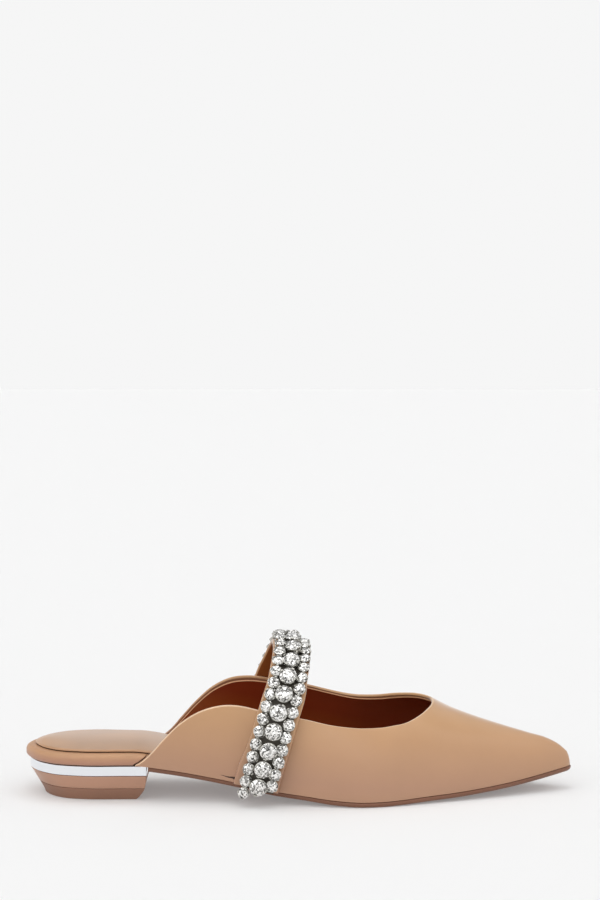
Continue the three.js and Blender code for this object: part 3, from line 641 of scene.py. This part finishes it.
def wall_rings(feet, tops, rows, outside, inside, drop, start):
    """Rings of a shell between two depths, whose rounded edge lies drop below the topline.

    start is where the shell begins: a height above the feather edge, or a depth below 0
    under the rounded edge. Where the wall is low, all keep to a share of its height."""
    fine = np.linspace(0, 1, 60)
    rings = []
    for foot, top in zip(feet, tops):
        run = run_along(last.point(*mix(foot, top, fine[:, None]).T))
        half = (inside - outside) / 2
        radius = min(half, run[-1] * 0.42)
        high = max(run[-1] - drop - radius, run[-1] * 0.4)
        low = min(start, high * 0.5) if start >= 0 else high + start
        share = np.interp(np.linspace(low, high, rows + 1), run, fine)
        at = mix(foot, top, share[:, None]).T
        place, out = last.point(*at), last.normal(*at)
        out[0] = unit(out[0] * (1, 1, 0)) if start == 0 else out[0]
        up = unit(place[-1] - place[-2])
        up = unit(up - out[-1] * (up @ out[-1]))
        middle = place[-1] - out[-1] * (outside + half)
        angle = np.linspace(0, np.pi, ROLL + 2)[1:-1, None]
        roll = middle + out[-1] * half * np.cos(angle) + up * radius * np.sin(angle)
        rings.append(np.vstack([
            place - out * outside, roll, (place - out * inside)[::-1]]))
    return rings


class MULE_OT_upper(bpy.types.Operator):
    """Makes the tan upper with its rolled edge, and the brown lining inside it"""

    bl_idname = "mule.upper"
    bl_label = "Upper and lining"

    def execute(self, context):
        prepare(context)
        feet, tops = (np.vstack([outer, inner[::-1][1:]])
                      for outer, inner in zip(upper_columns(-1), upper_columns(1)))
        # Painted highlight: a pale line along the outer side of the rolled edge
        pale = leather("edge_painted_highlight", colours.edge_highlight, roughness=0.3, grain=0.02,
                       Coat_Weight=0.5, Coat_Roughness=0.2)
        # Painted light and shade: the lining lighter and warmer low towards the heel, darker high
        # on the walls and towards the toe
        brown = leather("lining_leather_brown", colours.lining, roughness=0.42, grain=0.04,
                        low=colours.lining_painted_light, span=((0.25, 0, 1), 0.027, 0.036),
                        Specular_IOR_Level=0.3)
        light = leather("lining_edge_tan", colours.lining_edge, roughness=0.5, grain=0.02)
        # Painted shade: the tan leather turned in under the rolled edge, darkened for the shade
        # there
        shade = leather("fold_leather_painted_shade", colours.shaded_fold, roughness=0.5, grain=0.02)
        shell, faces = loft(
            wall_rings(feet, tops, WALL_ROWS, 0, sizes.wall - TAN_DEPTH, 0, 0))
        around = len(shell) // len(feet)
        face = np.arange(len(faces))
        row = face % around - WALL_ROWS
        in_highlight = (row >= 0) & (row < HIGHLIGHT_ROWS) & (face < around * (len(feet) - 1))
        piece("upper_leather", shell, faces, [calf_leather(), pale], "upper_leather", ["upper"],
              kinds=in_highlight.astype(int).tolist())
        layers = (  # name, finish, rows, and in mm: depths past the wall, drop and start
            ("upper_lining", brown, WALL_ROWS, -0.4, 0.25, 2.25, 0.4),
            ("upper_lining_edge", light, 2, -0.38, 0.4, 2.0, -0.1),
            ("upper_fold", shade, 3, -0.9, -0.25, 0.75, -1.1),
        )
        for name, finish, rows, outside, inside, drop, start in layers:
            rings = wall_rings(feet, tops, rows, sizes.wall + outside * MM,
                               sizes.wall + inside * MM, drop * MM, start * MM)
            piece(name, *loft(rings), finish, "lining_leather")
        return {"FINISHED"}


# Soles

CROWN_WIDTH = 20 * MM  # a board narrower than this is crowned less
SOLE_SIDE = (  # inset and height of the outsole's side, in mm
    (1.5, 0), (0.9, 0.12), (0.35, 0.55), (0.05, 1.2), (0, 1.7), (0.05, 2.05), (0.25, 2.2),
)
WAIST_INSET, WELT = 1.0 * MM, 0.4 * MM  # the sole lies in at the waist, then stands out
WAIST_ENDS = 0.48, 0.62  # shares of the length
RIM_LOW, RIM_HIGH = 1.6 * MM, 2.6 * MM  # radii of the rim's rounded edges
RIM_FINE = 0.19, 0.26  # shares of the length between which the rim goes behind the upper
SOCK_MARGIN, SOCK_TOE_MARGIN = 4.4 * MM, 0.8 * MM  # bare board round it
SOCK_ENTERS = 0.18, 0.32  # shares of the length between which it goes into the upper
SOCK_CROWN = 0.9 * MM
SOCK_GAP = 0.5 * MM  # the gap under the sock, filled with a dark ring of painted shadow


def plank(stations, profile, point_at, across, crown=0.0):
    """Rings across the shoe from a profile of (inset, height) on each side.

    crown is how far the top rises between the sides."""
    outer = np.stack([point_at(stations, -1, *entry) for entry in profile], axis=1)
    inner = np.stack([point_at(stations, 1, *entry) for entry in profile], axis=1)
    u = np.linspace(0, 1, across + 1)[None, 1:-1, None]
    low = mix(outer[:, :1], inner[:, :1], u)
    high = mix(inner[:, -1:], outer[:, -1:], u)
    width = np.linalg.norm(inner[:, -1] - outer[:, -1], axis=1)[:, None]
    rise = crown * np.sin(np.pi * u[..., 0]) ** 0.9
    high[..., 2] += rise * np.minimum(1, width / CROWN_WIDTH)
    return np.concatenate([outer[:, ::-1], low, inner, high], axis=1)


def at_height(outline, height):
    return np.concatenate([outline, np.asarray(height)[..., None]], axis=-1)


def round_profile(thickness, low, high, steps):
    """Inset and height of a board's side with rounded edges of the given radii."""
    angle = np.linspace(0, np.pi / 2, steps)
    below = [(low * (1 - np.sin(a)), low * (1 - np.cos(a))) for a in angle]
    above = [(high * (1 - np.cos(a)), thickness - high * (1 - np.sin(a))) for a in angle]
    return below + above


class MULE_OT_outsole(bpy.types.Operator):
    """Makes the thin leather outsole with its brown edge"""

    bl_idname = "mule.outsole"
    bl_label = "Outsole"

    def execute(self, context):
        prepare(context)
        s = sizes

        def point_at(stations, side, inset, height):
            x = last.row(stations)[:, 0]
            waist = mix(WAIST_INSET, -WELT, passage(x / s.length, *WAIST_ENDS))
            p = last.outline(stations, side, inset * MM + waist)
            return at_height(p, last.base(p[:, 0]) - s.fit - s.sole + height * MM)

        stations = last.stations(s.heel_length + 2 * s.fit, s.length, 220)
        rings = plank(stations, SOLE_SIDE, point_at, 10)
        finish = leather("sole_leather_brown", colours.edge, roughness=0.38, grain=0.03,
                         patch=0.1)
        piece("outsole_leather", *loft(rings, end_cap=False), finish, "sole_leather",
              ["outsole"], sharp=50)
        return {"FINISHED"}


class MULE_OT_insole(bpy.types.Operator):
    """Makes the leather-wrapped insole with its rounded rim, and the padded sock on it"""

    bl_idname = "mule.insole"
    bl_label = "Insole and sock"

    def execute(self, context):
        prepare(context)
        s = sizes

        def rim_point(stations, side, inset, share):
            x = last.row(stations)[:, 0]
            thickness = last.insole_thickness(x)
            cover = last.cover(x, last.base(x) + share * thickness, side)
            p = last.outline(stations, side, inset * (thickness / s.rim) + cover)
            return at_height(p, last.base(p[:, 0]) + share * thickness)

        def sock_point(stations, side, inset, height):
            x = last.row(stations)[:, 0]
            inside = passage(x / s.length, *SOCK_ENTERS)
            margin = mix(SOCK_MARGIN, s.wall + s.fit + SOCK_TOE_MARGIN, inside)
            p = last.outline(stations, side, margin + inset)
            floor = last.base(p[:, 0]) + last.insole_thickness(p[:, 0])
            return at_height(p, floor + height)

        steps = 9
        rim = round_profile(s.rim, RIM_LOW, RIM_HIGH, steps)
        rim[steps:steps] = [(0.0, z) for z in np.linspace(RIM_LOW, s.rim - RIM_HIGH, 5)[1:-1]]
        start, end = (share * s.length for share in RIM_FINE)
        stations = np.concatenate([
            last.stations(0, start, 90),
            last.stations(start, end, 110)[1:],
            last.stations(end, s.length, 120)[1:],
        ])
        rings = plank(stations, [(inset, z / s.rim) for inset, z in rim], rim_point, 14)
        seat = last.base(0.0)
        # Painted shade: the rim goes darker and pinker towards its foot
        finish = leather("rim_leather_tan", colours.rim, roughness=0.4, grain=0.04,
                         low=colours.rim_painted_shade,
                         span=((0, 0, 1), seat + 1.5 * MM, seat + 4.2 * MM))
        piece("insole_rim", *loft(rings, False, False), finish, "insole_leather", ["insole"])

        stations = last.stations(0, s.length, 200)
        # A dark ring of painted shadow fills the gap under the sock pad
        side = [(0.35 * MM, 0.02 * MM), (0.3 * MM, SOCK_GAP / 2),
                (0.35 * MM, SOCK_GAP + 0.05 * MM)]
        rings = plank(stations, side, sock_point, 10)
        piece("sock_gap_shadow", *loft(rings, False, False), gap_shadow_finish(), "sock_leather")
        side = [(inset, SOCK_GAP + z) for inset, z in round_profile(
            s.sock + s.fit - SOCK_GAP, 0.15 * MM, 0.8 * MM, 6)]
        rings = plank(stations, side, sock_point, 24, SOCK_CROWN)
        finish = leather("sock_leather_tan", colours.sock, roughness=0.33, grain=0.03,
                         patch=0.1, Coat_Weight=0.55, Coat_Roughness=0.25,
                         Specular_IOR_Level=0.25)
        sock = piece("sock_pad", *loft(rings, False, False), finish, "sock_leather", ["sock"])
        return {"FINISHED"}


# The heel

HEEL_HALF = 0.35  # half the heel's width, as a share of the ball's
BEVEL_FADES = 3 * MM  # this near to the middle line
BREAST_HOLLOW, BREAST_RADIUS = 0.2 * MM, 0.5 * MM  # the front face and its corners
HEEL_EDGE = 0.25 * MM  # bevel of the block and the top piece
BAND_EDGE = 0.08 * MM  # and of the polished band
BAND_GAP, TOP_GAP = 0.3 * MM, 0.12 * MM  # gaps round the band and over the top piece, filled with painted shadow
SHADOW_INSET = 0.3 * MM


def heel_ring(back, side, front, z, bevel):
    """One level of the heel, drawn in by back, side and front, with a hollow front face."""
    s = sizes
    radius = BREAST_RADIUS
    front_x = s.heel_length - front - bevel
    start_x = s.heel_inset + back + bevel
    narrow = 1 - side / (s.ball_width * HEEL_HALF)
    scale = (front_x - start_x) / (s.heel_length - s.heel_inset)
    stations = last.stations(0, s.heel_inset + (front_x - radius - start_x) / scale, 90)
    sides, corners = [], []
    angle = np.linspace(0, np.pi / 2, 6)[1:]
    for sign in (-1, 1):
        p = last.outline(stations, sign, s.heel_inset)
        x = start_x + (p[:, 0] - s.heel_inset) * scale
        width = np.abs(p[:, 1]) * narrow
        width = np.maximum(0, width - bevel * np.minimum(1, width / BEVEL_FADES))
        sides.append(np.stack([x, sign * width], axis=1))
        y = sign * width[-1] - sign * radius * (1 - np.cos(angle))
        corners.append(np.stack([front_x - radius + radius * np.sin(angle), y], axis=1))
    u = np.linspace(0, 1, 18)[1:-1]
    breast = np.stack([front_x - BREAST_HOLLOW * 4 * u * (1 - u),
                       mix(corners[0][-1, 1], corners[1][-1, 1], u)], axis=1)
    flat = np.vstack([sides[0], corners[0], breast, corners[1][::-1], sides[1][::-1][:-1]])
    return at_height(flat, np.broadcast_to(z, len(flat)))


class MULE_OT_heel(bpy.types.Operator):
    """Makes the heel: a polished band, a leather-covered block and the brown top piece"""

    bl_idname = "mule.heel"
    bl_label = "Heel"

    def execute(self, context):
        prepare(context)
        s = sizes
        height, *shares = np.array(HEEL_LEVELS).T
        curves = [steady(height, share * s.heel_length) for share in shares]
        seat = last.base(0.0) - s.fit
        band = seat - s.band

        def drawn(z):
            share = np.clip(z / band, 0, 1)
            return [curve(share) for curve in curves]

        def tier(low, high):
            half, edge = 0.1 * MM, HEEL_EDGE
            wall = [(z, 0) for z in np.linspace(low + edge, high - edge, 10)]
            levels = [(low, edge), (low + half, half), *wall, (high - half, half), (high, edge)]
            return stack([heel_ring(*drawn(z), z, bevel) for z, bevel in levels])

        chrome = metal("polished_chrome", colours.chrome, 0.06)
        tan = leather("heel_leather_tan", colours.heel, roughness=0.4, grain=0.03,
                      Coat_Weight=0.1, Coat_Roughness=0.3)
        brown = leather("top_piece_brown", colours.top_piece, roughness=0.5, grain=0.06,
                        patch=0.08)
        top, fine = seat - BAND_GAP, BAND_EDGE
        rings = [heel_ring(0, 0, 0, z, bevel) for z, bevel in (
            (band, fine), (band + fine, 0), (top - fine, 0), (top, fine))]
        piece("heel_band_chrome", *stack(rings), chrome, "heel_chrome", ["heel_band"], 40)
        block = tier(s.top_piece + TOP_GAP, band - BAND_GAP)
        piece("heel_block_leather", *block, tan, "heel_leather", ["heel_block"], 40)
        # Dark rings of painted shadow fill the gaps over and under the band and over the top piece
        for name, low, high in (("upper", top, seat + s.fit), ("lower", band - BAND_GAP, band),
                                ("bottom", s.top_piece, s.top_piece + TOP_GAP)):
            rings = [heel_ring(*drawn(low), z, SHADOW_INSET) for z in (low, high)]
            piece(f"heel_gap_shadow_{name}", *stack(rings), gap_shadow_finish(), "heel_leather", sharp=40)
        piece("heel_top_piece", *tier(0, s.top_piece), brown, "top_piece_rubber",
              ["top_piece"], 40)
        return {"FINISHED"}


# The strap and its stones

PLATE = 2.5 * MM  # the fit and the band under the stones
BACKING_WIDTH = 15.2 * MM
STRAP_STEPS = 180
FRONT_IN, REAR_OUT = 1.1 * MM, 1.9 * MM  # how the strap narrows at its crest and flares
CREASE_TURN, CREASE_RUN = 0.0052, 7.0 * MM  # where the crease leaves the strap, and how far
CREASE_STEPS, CREASE_WIDTH = 12, 0.0017  # its half width at the strap, in turns
PITCH = 8.7 * MM  # from one large stone to the next
FIRST_STONE = 2.2 * MM  # from the strap's outer end
SMALL_OUT = 6.2 * MM  # small stones lie this far from the middle line
GIRDLE_LARGE, GIRDLE_SMALL = 4.1 * MM, 2.5 * MM  # how high a stone's widest line stands
CROWN, PAVILION = 0.34, 0.84  # a stone's height above and below it, over its radius
STONE_LEAN = 0.03  # how unevenly stones are set
SEED = 7


def trim_turns():
    """Turns at equal steps of the trim's length, its length, and turn from length."""
    lift = sizes.fit + sizes.strap + PLATE
    turns, values, run = even(lambda t: last.trim_point(t, 0, lift)[0], 0, 1, STRAP_STEPS)
    return turns, run[-1], lambda length: np.interp(length, run, values)


def strap_rings(width, low, high, radius, turns, point_at):
    """Rings across a strap with rounded edges, between two distances from the last."""
    half = width / 2 - radius
    angle = np.linspace(-np.pi / 2, np.pi / 2, 9)
    middle, flat = (low + high) / 2, (high - low) / 2
    right = [(half + radius * np.cos(a), middle + flat * np.sin(a)) for a in angle]
    top = [(x, high) for x in np.linspace(half, -half, 12)[1:-1]]
    left = [(-x, z) for x, z in reversed(right)]
    under = [(-x, low) for x, _ in top]
    ring = np.array(right + top + left + under)
    return point_at(turns[:, None], ring[None, :, 0], ring[None, :, 1])[0]


def strap_place(turn, across, lift):
    """A point of the strap, which is narrower in front at its crest and flares at its ends."""
    crest = passage(turn, 0.2, 0.34) * passage(turn, 0.78, 0.64)
    flare = passage(np.minimum(turn, 1 - turn), 0.11, 0)
    half = sizes.strap_width / 2
    front = np.maximum(across, 0) / half * -FRONT_IN * crest
    rear = np.maximum(-across, 0) / half * -REAR_OUT * flare
    return last.strap_point(turn, across + front + rear, lift)


class MULE_OT_strap(bpy.types.Operator):
    """Makes the strap with its folded edges, its brown lining, and the crease at its foot as a
    thin strip of painted shade
    """

    bl_idname = "mule.strap"
    bl_label = "Strap"

    def execute(self, context):
        prepare(context)
        s = sizes
        turns, _, _ = trim_turns()
        brown = leather("strap_lining_brown", colours.strap_lining, roughness=0.45, grain=0.04,
                        Specular_IOR_Level=0.3)
        rings = strap_rings(s.strap_width, s.fit + 0.45 * MM, s.fit + s.strap, 0.8 * MM, turns,
                            strap_place)
        piece("strap_leather", *loft(rings), calf_leather(), "strap_leather", ["strap"])
        rings = strap_rings(s.strap_width - 1.6 * MM, s.fit, s.fit + 0.4 * MM, 0.2 * MM, turns,
                            strap_place)
        piece("strap_lining", *loft(rings), brown, "lining_leather")
        # The crease is a thin dark strip of painted shade lying on the upper
        rings = []
        for t in np.linspace(0, 1, CREASE_STEPS):
            across = -s.strap_width / 2 - 1.7 * MM - CREASE_RUN * t
            middle = CREASE_TURN + 0.0003 * np.sin(9 * t)
            half = CREASE_WIDTH * (1 - t) ** 1.5 + 0.0002
            rings.append([last.strap_point(middle + half * side, across, lift * MM)[0]
                          for side, lift in ((-1, -0.2), (1, -0.2), (1, 0.05), (-1, 0.05))])
        piece("strap_crease_shadow", *loft(rings), gap_shadow_finish(), "upper_leather")
        return {"FINISHED"}


def stone_plan(total):
    """Length along the strap, distance across it and size of every stone."""
    small, group = sizes.small_stone, 2 * PITCH
    overhang = small * 0.38  # small stones may stand this far past the strap's ends
    stagger = small * 0.08
    plan = []
    for centre in np.arange(FIRST_STONE - PITCH / 2, total + group, group):
        for offset in (-PITCH / 2, PITCH / 2):
            if 0 < centre + offset < total:
                plan.append((True, centre + offset, 0.0))
        for offset in (-group / 3, 0, group / 3):
            for side in (-1, 1):
                wanted = centre + offset + side * stagger
                slack = small * (0.75 if side < 0 else 0.3)
                if -slack < wanted < total + slack:
                    length = min(total + overhang, max(-overhang, wanted))
                    plan.append((False, length, side * SMALL_OUT))
    return plan


def stone_frame(length, across, lift, total, turn_at, rng):
    """Where a stone stands on the trim and how it is turned, as a matrix."""
    near = min(total, max(0, length))
    at, normal = last.trim_point(turn_at(near), across, lift - 0.1 * MM)
    ahead, behind = (last.trim_point(turn_at(min(total, max(0, near + step))), across, lift)[0]
                     for step in (MM, -MM))
    side = unit(np.cross(ahead - behind, normal))
    run = np.cross(normal, side)
    lean = rng.normal(0, STONE_LEAN, 2)
    normal = unit(normal + side * lean[0] + run * lean[1])
    side = unit(np.cross(run, normal))
    run = np.cross(normal, side)
    spin = rng.uniform(0, np.pi / 4)
    place = np.eye(4)
    place[:3, 0] = side * np.cos(spin) + run * np.sin(spin)
    place[:3, 1] = run * np.cos(spin) - side * np.sin(spin)
    place[:3, 2] = normal
    place[:3, 3] = at + run * (length - near)
    return place


def circle(radius, angles, z):
    return [(radius * np.cos(a), radius * np.sin(a), z) for a in angles]


def brilliant(radius, girdle):
    """Points of a round brilliant at its girdle's height, its crown's faces and its back's."""
    table, star, lower = 0.56, 0.78, 0.28  # shares of the radius
    crown, depth = CROWN * radius, PAVILION * radius
    radius *= 0.98
    belt = 0.05 * radius
    half = np.pi / 8
    eighth = np.arange(8) * 2 * half
    star_z = crown * (1 - (star * np.cos(half) - table) / (1 - table))
    lower_z = -depth * (1 - lower * np.cos(half)) - belt
    around = circle(radius, np.arange(16) * half, 0.0)
    verts = (circle(table * radius, eighth, crown) + circle(star * radius, eighth + half, star_z)
             + around + [(x, y, -belt) for x, y, _ in around]
             + circle(lower * radius, eighth + half, lower_z) + [(0, 0, -depth - belt)])
    t, st, g, b, lo, culet = 0, 8, 16, 32, 48, 56
    faces = [tuple(range(8))]
    back = []
    for k in range(8):
        n, before = (k + 1) % 8, (k - 1) % 8
        g0, g1, g2 = g + 2 * k, g + 2 * k + 1, g + 2 * n
        b0, b1, b2 = b + 2 * k, b + 2 * k + 1, b + 2 * n
        faces += [(t + k, st + k, t + n), (t + k, st + before, g0, st + k),
                  (st + k, g0, g1), (st + k, g1, g2),
                  (g0, b0, b1, g1), (g1, b1, b2, g2)]
        back += [(culet, lo + k, b0, lo + before), (b0, lo + k, b1), (b1, lo + k, b2)]
    return np.array(verts) + (0, 0, girdle), faces, back


def prong(radius, girdle):
    """One claw: a flat wire that rises outside the stone and bends over its edge."""
    crown = CROWN * radius
    path = (  # reach, height, half thickness in mm, and width
        (0.72, 0.0, 0.13, 1), (0.9, girdle * 0.65, 0.13, 1), (1.01, girdle - 0.1 * MM, 0.14, 1.1),
        (1.0, girdle + crown * 0.35, 0.15, 1.2), (0.88, girdle + crown * 0.55, 0.1, 0.9),
    )
    rings = []
    for reach, height, thick, wide in path:
        x, t, w = radius * reach, thick * MM, radius * 0.17 * wide
        rings.append([(x - t, -w, height), (x + t, -w * 0.8, height),
                      (x + t, w * 0.8, height), (x - t, w, height)])
    return stack(rings)


class Heap:
    """Gathers many small forms into one mesh."""

    def __init__(self):
        self.verts, self.faces, self.kinds, self.count = [], [], [], 0

    def add(self, verts, faces, place, kind=0):
        self.verts.append(verts @ place[:3, :3].T + place[:3, 3])
        self.faces += [tuple(i + self.count for i in face) for face in faces]
        self.kinds += [kind] * len(faces)
        self.count += len(verts)


class MULE_OT_stones(bpy.types.Operator):
    """Makes the band under the stones, dark with painted shade, the silvery claw cups and the cut
    stones
    """

    bl_idname = "mule.stones"
    bl_label = "Stones"

    def execute(self, context):
        prepare(context)
        turns, total, turn_at = trim_turns()
        out = sizes.fit + sizes.strap
        lift = out + PLATE - 0.4 * MM
        rings = strap_rings(BACKING_WIDTH, out - 0.1 * MM, lift, 0.8 * MM, turns,
                            last.trim_point)
        # Painted shade: the band is dark for the shadows between the stones
        backing_shadow = leather("backing_painted_shadow", colours.backing_shadow, roughness=0.6, grain=0.1)
        piece("stone_backing", *loft(rings), backing_shadow, "crystal", ["crystal_trim"])
        cups, stones = Heap(), Heap()
        rng = np.random.default_rng(SEED)
        angles = np.arange(24) * np.pi / 12
        for large, length, across in stone_plan(total):
            radius = (sizes.large_stone if large else sizes.small_stone) / 2
            girdle = GIRDLE_LARGE if large else GIRDLE_SMALL
            place = stone_frame(length, across, lift, total, turn_at, rng)
            cup = ((0.7, 0), (0.85, 0.1 * MM), (0.95, girdle * 0.5), (1.0, girdle * 0.8),
                   (0.95, girdle * 0.82))
            cups.add(*stack([circle(radius * r, angles, z) for r, z in cup]), place)
            for quarter in range(4):
                turned = np.array(Matrix.Rotation((quarter + 0.5) * np.pi / 2, 4, "Z"))
                cups.add(*prong(radius, girdle), place @ turned)
            verts, faces, back = brilliant(radius, girdle)
            stones.add(verts, faces, place, 0)
            stones.add(verts, back, place, 1)
        silver = metal("claw_silver", colours.cup, 0.18)
        piece("stone_cups", np.vstack(cups.verts), cups.faces, silver, "setting_metal",
              sharp=40)
        glass = [cut_glass("cut_glass", 0.7 * MM, 0.45),
                 cut_glass("cut_glass_back", 1.1 * MM, 0.3)]
        piece("cut_stones", np.vstack(stones.verts), stones.faces, glass, "crystal",
              sharp=None, kinds=stones.kinds)
        return {"FINISHED"}


# The stage

HORIZON = 0.921  # the backdrop's brightness
PANEL_SCALE = 5.0
PANEL_DARK, PANEL_GAIN = 0.2, 1.35  # the small panels, and how much brighter each second is
PANELS_BACK, PANELS_FRONT = 0.55, 1.6  # their shares behind the shoe and towards the camera
TOP_PANEL = 1.7
PANELS_START, TOP_START = (0.24, 0.34), (0.86, 0.9)  # heights, from 0 level to 1 straight up
FLOOR_GREY, FLOOR_GLOW = 0.66, 0.199  # together as bright as the backdrop
FLOOR_REACH, FLOOR_LEVEL = 3.0, -0.02 * MM
LENS, SENSOR = 96.6, 36.0
AIM = 0.129, 0.0, 0.012  # in the last's frame
CAMERA_DISTANCE = 1.15
CAMERA_RISE, CAMERA_PITCH = np.radians(12.5), np.radians(5.069)


def calculate(tree, operation, inputs):
    return add_node(tree, "ShaderNodeMath", inputs, operation=operation).outputs[0]


def blend(tree, low, high, value, start, end):
    """A number that goes smoothly from low to high while value goes from start to end."""
    share = rescale(tree, value, start, end, 0, 1, "SMOOTHSTEP")
    return add_node(tree, "ShaderNodeMix", {"Factor": share, 2: low, 3: high}).outputs[0]


def light_world(world):
    """A bright studio: an even backdrop, many small panels above it and a large one on top."""
    world.use_nodes = True
    tree = world.node_tree
    ray = add_node(tree, "ShaderNodeTexCoord").outputs["Generated"]
    split = add_node(tree, "ShaderNodeSeparateXYZ", {"Vector": ray}).outputs
    checks = add_node(tree, "ShaderNodeTexChecker", {"Vector": ray, "Scale": PANEL_SCALE})
    panel = calculate(tree, "MULTIPLY_ADD", {
        0: checks.outputs["Fac"], 1: PANEL_GAIN, 2: PANEL_DARK})
    front = rescale(tree, split["Y"], 1, -1, PANELS_BACK, PANELS_FRONT, "SMOOTHSTEP")
    panel = calculate(tree, "MULTIPLY", {0: panel, 1: front})
    above = blend(tree, panel, TOP_PANEL, split["Z"], *TOP_START)
    strength = blend(tree, HORIZON, above, split["Z"], *PANELS_START)
    feed(tree, tree.nodes["Background"], {"Color": WHITE, "Strength": strength})


class MULE_OT_stage(bpy.types.Operator):
    """Makes the pale lit floor, the studio light and the camera"""

    bl_idname = "mule.stage"
    bl_label = "Stage"

    def execute(self, context):
        prepare(context)
        scene = context.scene
        scene.view_settings.view_transform = "Standard"
        scene.world = scene.world or bpy.data.worlds.new("studio")
        light_world(scene.world)
        grey = (FLOOR_GREY, FLOOR_GREY, FLOOR_GREY, 1.0)
        material = new_material(
            "lit_floor", grey, Roughness=0.9, Specular_IOR_Level=0.0, Emission_Color=WHITE,
            Emission_Strength=FLOOR_GLOW)[0]
        mesh = bpy.data.meshes.new("floor")
        mesh.from_pydata([(x * FLOOR_REACH, y * FLOOR_REACH, FLOOR_LEVEL) for x, y in (
            (-1, -1), (1, -1), (1, 1), (-1, 1))], [], [(0, 1, 2, 3)])
        mesh.materials.append(material)
        floor = bpy.data.objects.new("floor", mesh)
        scene.collection.objects.link(floor)
        camera = bpy.data.cameras.new("camera")
        camera.lens, camera.sensor_width = LENS, SENSOR
        camera.clip_start, camera.clip_end = 0.05, 20.0
        made = bpy.data.objects.new("camera", camera)
        made.location = np.array(AIM) + SHIFT + CAMERA_DISTANCE * np.array(
            [0, -np.cos(CAMERA_RISE), np.sin(CAMERA_RISE)])
        made.rotation_euler = (np.pi / 2 - CAMERA_PITCH, 0, 0)
        scene.collection.objects.link(made)
        scene.camera = made
        return {"FINISHED"}


class MULE_PT_panel(bpy.types.Panel):
    """Lists the mule's sizes, colours and steps"""

    bl_idname = "MULE_PT_panel"
    bl_label = "Mule"
    bl_space_type = "VIEW_3D"
    bl_region_type = "UI"
    bl_category = "Mule"

    def draw(self, context):
        for group in (context.scene.mule_sizes, context.scene.mule_colours):
            for name in group.__annotations__:
                self.layout.prop(group, name)
        for operator in OPERATORS:
            self.layout.operator(operator.bl_idname)


OPERATORS = (MULE_OT_upper, MULE_OT_outsole, MULE_OT_insole, MULE_OT_heel, MULE_OT_strap,
             MULE_OT_stones, MULE_OT_stage)
CLASSES = (MuleSizes, MuleColours, *OPERATORS, MULE_PT_panel)


def register():
    for kind in CLASSES:
        bpy.utils.register_class(kind)
    bpy.types.Scene.mule_sizes = bpy.props.PointerProperty(type=MuleSizes)
    bpy.types.Scene.mule_colours = bpy.props.PointerProperty(type=MuleColours)


def unregister():
    del bpy.types.Scene.mule_sizes, bpy.types.Scene.mule_colours
    for kind in reversed(CLASSES):
        bpy.utils.unregister_class(kind)


def main():
    register()
    bpy.ops.mule.upper()
    bpy.ops.mule.outsole()
    bpy.ops.mule.insole()
    bpy.ops.mule.heel()
    bpy.ops.mule.strap()
    bpy.ops.mule.stones()
    bpy.ops.mule.stage()


if __name__ == "__main__":
    main()
